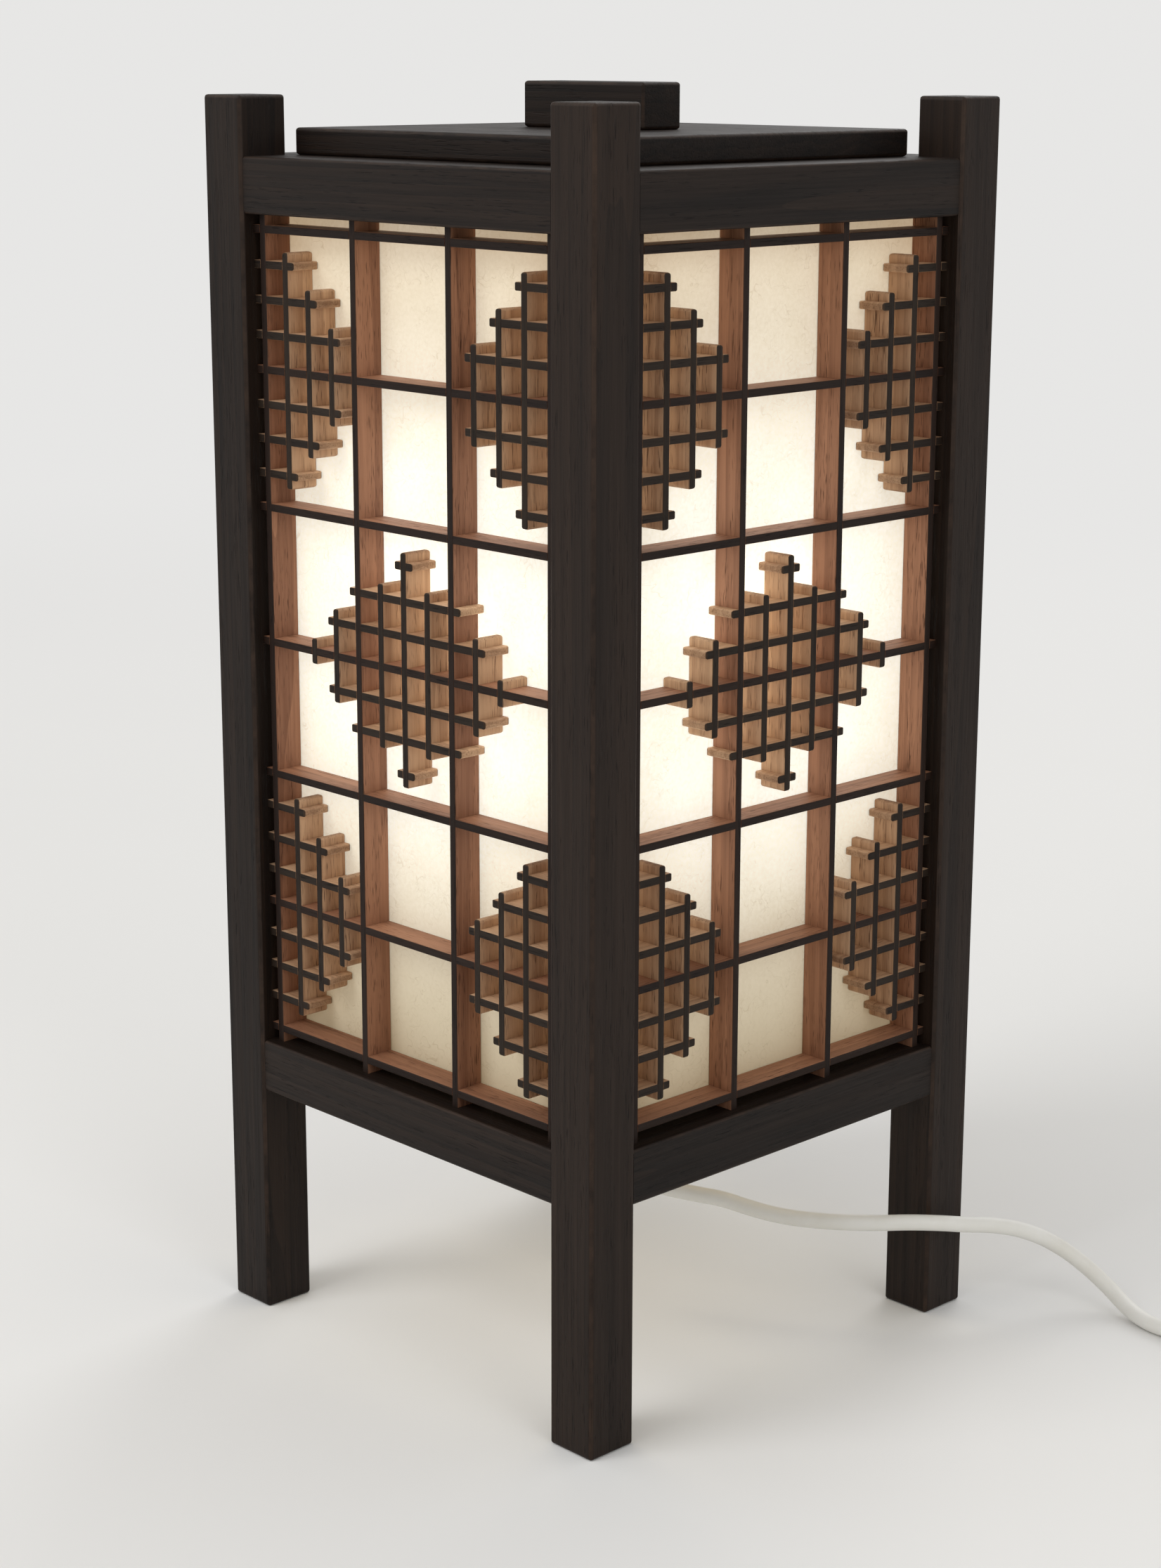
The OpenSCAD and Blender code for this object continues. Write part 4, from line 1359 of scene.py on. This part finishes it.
@dataclass
class Plug:
    """The plug: a body with finger grips, a sleeve and two blades.

    Attributes:
        shop: makes materials and hands pieces over.
        drawn_in: share of its size at the lead's end.
        rounding: rounding of the body, with its faces across and its least angle.
        edge: the same for the grips' edges.
        flank: an area that only its flanks pass.
        grip_inset: how far a grip lies inside its flank.
        grip_depth: how deep it is sunk.
        blade_edge: rounding of the blades.
    """

    shop: Workshop
    drawn_in: Point = (0.72, 1.0, 0.86)
    rounding: tuple[float, int, float] = (1.8 * MM, 4, 60.0)
    edge: tuple[float, int, float] = (0.35 * MM, 2, 50.0)
    flank: float = 100 * MM * MM
    grip_inset: float = 2.4 * MM
    grip_depth: float = 1.1 * MM
    blade_edge: float = 0.3 * MM

    def body(self) -> bpy.types.Object:
        """The body, shaped from a block.

        Returns:
            The finished body.
        """
        low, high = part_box("plug_body")
        middle = (low + high) / 2
        bpy.ops.object.select_all(action="DESELECT")
        bpy.ops.mesh.primitive_cube_add(size=1.0, location=middle)
        body = bpy.context.active_object
        body.name = body.data.name = "plug_moulding"
        body.scale = high - low
        settled(body)

        def taper() -> None:
            """Draw in the end that the lead comes from."""
            picked(body, "edges",
                   lambda edge: all(v.co.y > high.y - 2 * ON_PLANE for v in edge.verts))
            bpy.ops.transform.resize(value=self.drawn_in,
                                     center_override=(middle.x, high.y, middle.z))

        def grips() -> None:
            """Sink a finger grip into both tapered flanks."""
            picked(body, "faces",
                   lambda face: abs(face.normal.x) > 0.9 and face.calc_area() > self.flank)
            bpy.ops.mesh.inset(thickness=self.grip_inset, use_individual=True)
            bpy.ops.mesh.extrude_faces_move(TRANSFORM_OT_shrink_fatten={"value": -self.grip_depth})

        edited(body, taper)
        soften(body, *self.rounding)
        edited(body, grips)
        soften(body, *self.edge)
        self.shop.dress(body, WHITE_PLASTIC)
        return self.shop.hand_over(body, Body.FRAME, "white_plastic", "plug_body")

    def build(self) -> list[bpy.types.Object]:
        """Make the plug.

        Returns:
            Its pieces.
        """
        body = self.body()
        low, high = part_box("plug_sleeve")
        sleeve = Sleeve(length=high.y - low.y).build(
            self.shop, "plug_relief", ((low.x + high.x) / 2, low.y, (low.z + high.z) / 2),
            Matrix.Rotation(-QUARTER, 4, "X"))
        self.shop.hand_over(sleeve, Body.FRAME, "white_plastic", "plug_sleeve")
        return [body, sleeve,
                self.shop.fitting("plug_blades", "plug_pins", NICKEL, width=self.blade_edge)]


@dataclass
class Switch:
    """The inline switch: two halves, a rocker, two screws and two sleeves.

    Attributes:
        shop: makes materials and hands pieces over.
        edges: how its halves are rounded.
        rocker_edge: rounding of the rocker, with its faces across and its least angle.
        sleeve: length of a sleeve.
    """

    shop: Workshop
    edges: MouldedEdge = MouldedEdge()
    rocker_edge: tuple[float, int, float] = (0.5 * MM, 3, 12.0)
    sleeve: float = 20.0 * MM

    def sleeves(self) -> bpy.types.Object:
        """Both sleeves as one piece.

        Returns:
            The piece.
        """
        low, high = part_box("switch_sleeves")
        y, z = (low.y + high.y) / 2, (low.z + high.z) / 2
        made = [Sleeve(length=self.sleeve).build(self.shop, name, (x, y, z),
                                                 Matrix.Rotation(turn, 4, "Y"))
                for name, x, turn in (("switch_reliefs", low.x + self.sleeve, -QUARTER),
                                      ("switch_relief_far", high.x - self.sleeve, QUARTER))]
        alone(made[0])
        made[1].select_set(True)
        bpy.ops.object.join()
        return self.shop.hand_over(made[0], Body.FRAME, "white_plastic", "switch_sleeves")

    def build(self) -> list[bpy.types.Object]:
        """Make the switch.

        Returns:
            Its pieces.
        """
        pieces: list[bpy.types.Object] = []
        for node, name, rim in (("switch_lower", "switch_base", 0),
                                ("switch_upper", "switch_cover", 1)):
            half = carried(node, name)
            moulded(half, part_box(node)[rim].z, self.edges)
            self.shop.dress(half, WHITE_PLASTIC)
            pieces.append(self.shop.hand_over(half, Body.FRAME, "white_plastic", node))
        pieces += [
            self.shop.fitting("switch_rocker", "rocker_cap", GREY_PLASTIC, Body.ROCKER,
                              *self.rocker_edge),
            self.shop.fitting("switch_screws", "switch_fixings", STEEL, degrees=30),
            self.sleeves()]
        return pieces


@dataclass
class Lead:
    """The white lead, with its points in millimetres.

    Attributes:
        shop: makes materials and hands pieces over.
        route: the free lead, from the strain relief to the switch.
        link: from the switch to the coil.
        tail: from the coil to the plug.
        coil_middle: where the coil's axis stands.
        coil_outer: radius of its outermost turn.
        coil_step: how much nearer each turn lies.
        coil_turns: turns in and out again together.
        coil_points: points on a turn.
        coil_low: height of the lower layer's middle line.
        coil_high: height of the upper layer's.
    """

    shop: Workshop
    route: tuple[Point, ...] = (
        (0, 0, 79), (0, 0, 75.8), (1.6, 1.6, 66.4), (5.6, 5.1, 58.6), (12.5, 10.8, 52.3),
        (20.6, 16.9, 48.8), (29.4, 23, 47.1), (42.1, 30.1, 45.9), (50.7, 33.8, 44.4),
        (59.6, 37.5, 43.2), (69.4, 42.2, 42.6), (78.9, 48, 42.5), (87.6, 54.6, 42.5),
        (96, 62.7, 42.5), (104, 72, 42.5), (111, 82, 41.5), (115, 93, 39), (120, 107, 36),
        (126, 121, 31), (133, 132, 24), (142, 139, 16), (152, 141, 9.5), (163, 139, 5),
        (174, 136, 3.4), (186, 135, 3.6), (198, 135, 6.2), (208, 135, 9), (215.6, 135, 10),
        (222, 135, 10))
    link: tuple[Point, ...] = (
        (322, 135, 10), (328.4, 135, 10), (338, 132.5, 8.6), (346, 127.5, 7), (352, 120, 5.4),
        (355.5, 111, 4.2), (356.3, 100, 3.4), (356.35, 90, 3.2), (356.35, 78.4, 3.2))
    tail: tuple[Point, ...] = (
        (356.35, 65.6, 10.05), (356.35, 64.6, 10.05), (356.35, 61.6, 9.93), (356.35, 58.6, 9.58),
        (356.35, 55.8, 9.03), (356.35, 53, 8.48), (356.35, 50, 8.12), (356.35, 47, 8),
        (356.35, 45, 8))
    coil_middle: tuple[float, float] = (310.0, 72.0)
    coil_outer: float = 46.35
    coil_step: float = 6.85
    coil_turns: int = 6
    coil_points: int = 24
    coil_low: float = 3.2
    coil_high: float = 10.05

    def coil(self) -> list[Point]:
        """The coil's middle line, in millimetres.

        Returns:
            Its points, from the outside in and out again a layer higher.
        """
        points: list[Point] = []
        across, along = self.coil_middle
        for step in range(self.coil_turns * self.coil_points + 1):
            t = step / self.coil_points
            reach = self.coil_outer - self.coil_step * min(t, self.coil_turns - t)
            u = min(max(2 * (t - self.coil_turns / 2) + 0.5, 0.0), 1.0)
            climb = u * u * (3 - 2 * u)
            angle = -2 * math.pi * t
            points.append((across + reach * math.cos(angle), along + reach * math.sin(angle),
                           self.coil_low + (self.coil_high - self.coil_low) * climb))
        return points

    def curve(self, name: str, points: Sequence[Point]) -> tuple[bpy.types.Object, float]:
        """A round lead through its points.

        Args:
            name: the piece's name.
            points: the route in millimetres.

        Returns:
            The curve and its length in metres.
        """
        data = bpy.data.curves.new(name, "CURVE")
        data.dimensions = "3D"
        data.resolution_u = data.render_resolution_u = 4
        data.bevel_depth = LEAD_RADIUS
        data.bevel_resolution = 6
        data.use_fill_caps = True
        spline = data.splines.new("BEZIER")
        spline.bezier_points.add(len(points) - 1)
        for knot, point in zip(spline.bezier_points, points):
            knot.co = [c * MM for c in point]
            knot.handle_left_type = knot.handle_right_type = "AUTO"
        piece = bpy.data.objects.new(name, data)
        bpy.context.scene.collection.objects.link(piece)
        data.materials.append(self.shop.material(LEAD_SHEATH))
        bpy.context.view_layer.update()
        return piece, spline.calc_length()

    def build(self) -> None:
        """Make the lead and all that is on it."""
        switch, plug = Switch(self.shop).build(), Plug(self.shop).build()
        lead, length = self.curve("lead", self.route)
        self.shop.hand_over(lead, Body.FRAME, "white_lead", "cord_lead")
        points = [*self.link, *self.coil(), *self.tail]
        coil, length = self.curve("lead_coil", points)
        self.shop.hand_over(coil, Body.FRAME, "white_lead", "cord_link", "cord_coil", "cord_tail")
        self.shop.fitting("inner_cord", "lead_inside", LEAD_SHEATH, degrees=35)
        self.shop.fitting("cord_relief", "lead_relief", WHITE_PLASTIC)


# The frame


@dataclass
class LampFrame:
    """Posts, rails, cleats and the bar that carries the light."""

    shop: Workshop
    post_arris: Arris = Arris(0.5 * MM, long_share=0.8, reach=2.2 * MM)
    rail_arris: Arris = Arris(0.4 * MM, reach=0.9 * MM)
    plain_arris: Arris = Arris(0.6 * MM)

    def wooden(self, node: str, name: str, arris: Arris, grain: Axis) -> bpy.types.Object:
        """Make a dark wooden piece with eased edges in place of a CAD node.

        Args:
            node: the CAD node.
            name: the piece's name.
            arris: how its edges are eased.
            grain: the way the wood runs.

        Returns:
            The piece.
        """
        piece = carried(node, name)
        ease(piece, arris, grain, name)
        self.shop.dress(piece, DARK_WOOD, grain)
        return self.shop.hand_over(piece, Body.FRAME, "dark_walnut", node)

    def build(self) -> None:
        """Make the frame."""
        for corner in CORNERS:
            self.wooden(f"post_{corner}", f"corner_post_{corner}", self.post_arris, Axis.Z)
        for number, side in enumerate(SIDES):
            grain = (Axis.X, Axis.Y)[number % 2]
            for rail in ("top_rail", "bottom_rail"):
                self.wooden(f"{rail}_{side}", f"{rail}_dressed_{side}", self.rail_arris, grain)
        self.wooden("lid_cleats", "cleats", self.plain_arris, Axis.X)
        self.wooden("lamp_bar", "light_bar", self.plain_arris, Axis.X)
        self.shop.fitting("cleat_screws", "cleat_fixings", BRASS, degrees=30)


@dataclass
class LatticePanel:
    """One side's strips and the paper behind them.

    Attributes:
        shop: makes materials and hands pieces over.
        side: the side's number, from the front round by the right.
        arris: how the strips' edges are eased.
        cockle: how far the paper's waves rise.
        cockle_size: how wide they are.
        columns: the paper's faces from side to side.
        rows: its faces from top to bottom.
    """

    shop: Workshop
    side: int
    arris: Arris = Arris(0.9 * MM, long_share=0.36)
    cockle: float = 0.5 * MM
    cockle_size: float = 22.0 * MM
    columns: int = 56
    rows: int = 108

    def strips(self) -> None:
        """Ease and dress the side's strips, kind by kind."""
        across, front = ((Axis.X, Axis.Y), (Axis.Y, Axis.X))[self.side % 2]
        side = SIDES[self.side]
        for kind, grain in (("uprights", Axis.Z), ("crosspieces", across)):
            for size, wood in (("long", LONG_STRIP_WOOD), ("short", SHORT_STRIP_WOOD)):
                node = f"{size}_{kind}_{side}"
                piece = carried(node, f"{size}_{kind}_dressed_{side}")
                ease(piece, self.arris, grain, piece.name)
                self.shop.dress(piece, wood, grain, front)
                self.shop.hand_over(piece, Body.FRAME, "lattice_wood", node)

    def paper(self) -> None:
        """Lay a thin sheet with a slight cockle behind the strips."""
        low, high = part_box("paper_front")
        middle = (low + high) / 2
        bpy.ops.object.select_all(action="DESELECT")
        bpy.ops.mesh.primitive_grid_add(
            x_subdivisions=self.columns, y_subdivisions=self.rows, size=1.0,
            location=(middle.x, low.y, middle.z), rotation=(-QUARTER, 0.0, 0.0))
        sheet = bpy.context.active_object
        sheet.name = sheet.data.name = f"washi_{SIDES[self.side]}"
        sheet.scale = (high.x - low.x, high.z - low.z, 1.0)
        settled(sheet)
        sheet.data.transform(Matrix.Rotation(self.side * QUARTER, 4, "Z"))
        sheet.data.update()
        clouds = bpy.data.textures.new(f"cockle_{SIDES[self.side]}", "CLOUDS")
        clouds.noise_scale = self.cockle_size
        clouds.noise_depth = 1
        apply_modifier(sheet, "DISPLACE", texture=clouds, texture_coords="LOCAL",
                       direction="NORMAL", strength=self.cockle, mid_level=0.0)
        apply_modifier(sheet, "SOLIDIFY", thickness=high.y - low.y, offset=1.0)
        alone(sheet)
        bpy.ops.object.shade_smooth_by_angle(angle=math.radians(40))
        self.shop.dress(sheet, PAPER)
        self.shop.hand_over(sheet, Body.FRAME, "washi", f"paper_{SIDES[self.side]}")

    def build(self) -> None:
        """Make the side's strips and paper."""
        self.strips()
        self.paper()


@dataclass
class Lid:
    """The board that closes the top, with its grip."""

    shop: Workshop
    arris: Arris = Arris(0.45 * MM, reach=1.15 * MM)

    def build(self) -> None:
        """Make the lid."""
        for node, name in (("lid_board", "lid_panel"), ("lid_grip", "lid_handle")):
            piece = carried(node, name)
            ease(piece, self.arris, Axis.X, name)
            self.shop.dress(piece, DARK_WOOD, Axis.X)
            self.shop.hand_over(piece, Body.LID, "dark_walnut", node)
        self.shop.fitting("grip_screws", "grip_fixings", BRASS, Body.LID, degrees=30)


@dataclass
class Light:
    """The stem, the porcelain holder and the bulb.

    Attributes:
        shop: makes materials and hands pieces over.
        fittings: node, name, finish, body and rounding of each piece.
    """

    shop: Workshop
    fittings: tuple[tuple[str, str, Finish, Body, float], ...] = (
        ("stem", "threaded_stem", BRASS, Body.FRAME, 0.0),
        ("stem_nut", "stem_locknut", BRASS, Body.FRAME, 0.35 * MM),
        ("holder_body", "holder_porcelain", PORCELAIN, Body.FRAME, 0.6 * MM),
        ("holder_shell", "holder_screw_shell", BRASS, Body.FRAME, 0.0),
        ("holder_contact", "holder_spring_contact", BRASS, Body.FRAME, 0.2 * MM),
        ("bulb_cap", "bulb_screw_cap", NICKEL, Body.BULB, 0.0),
        ("bulb_contact", "bulb_foot_contact", STEEL, Body.BULB, 0.2 * MM),
        ("bulb_glass", "bulb_globe", GLASS, Body.BULB, 0.0))

    def build(self) -> None:
        """Make the light."""
        for fitting in self.fittings:
            self.shop.fitting(*fitting)


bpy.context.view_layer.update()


def main() -> None:
    """Build the studio, the lead and the lamp."""
    scene = bpy.context.scene
    scene.view_settings.view_transform = "Standard"
    studio = Studio()
    studio.set_camera()
    shop = Workshop()
    Lead(shop).build()
    studio.lay_floor()
    studio.light()
    LampFrame(shop).build()
    for side in range(len(SIDES)):
        LatticePanel(shop, side).build()
    Lid(shop).build()
    Light(shop).build()


if __name__ == "__main__":
    main()
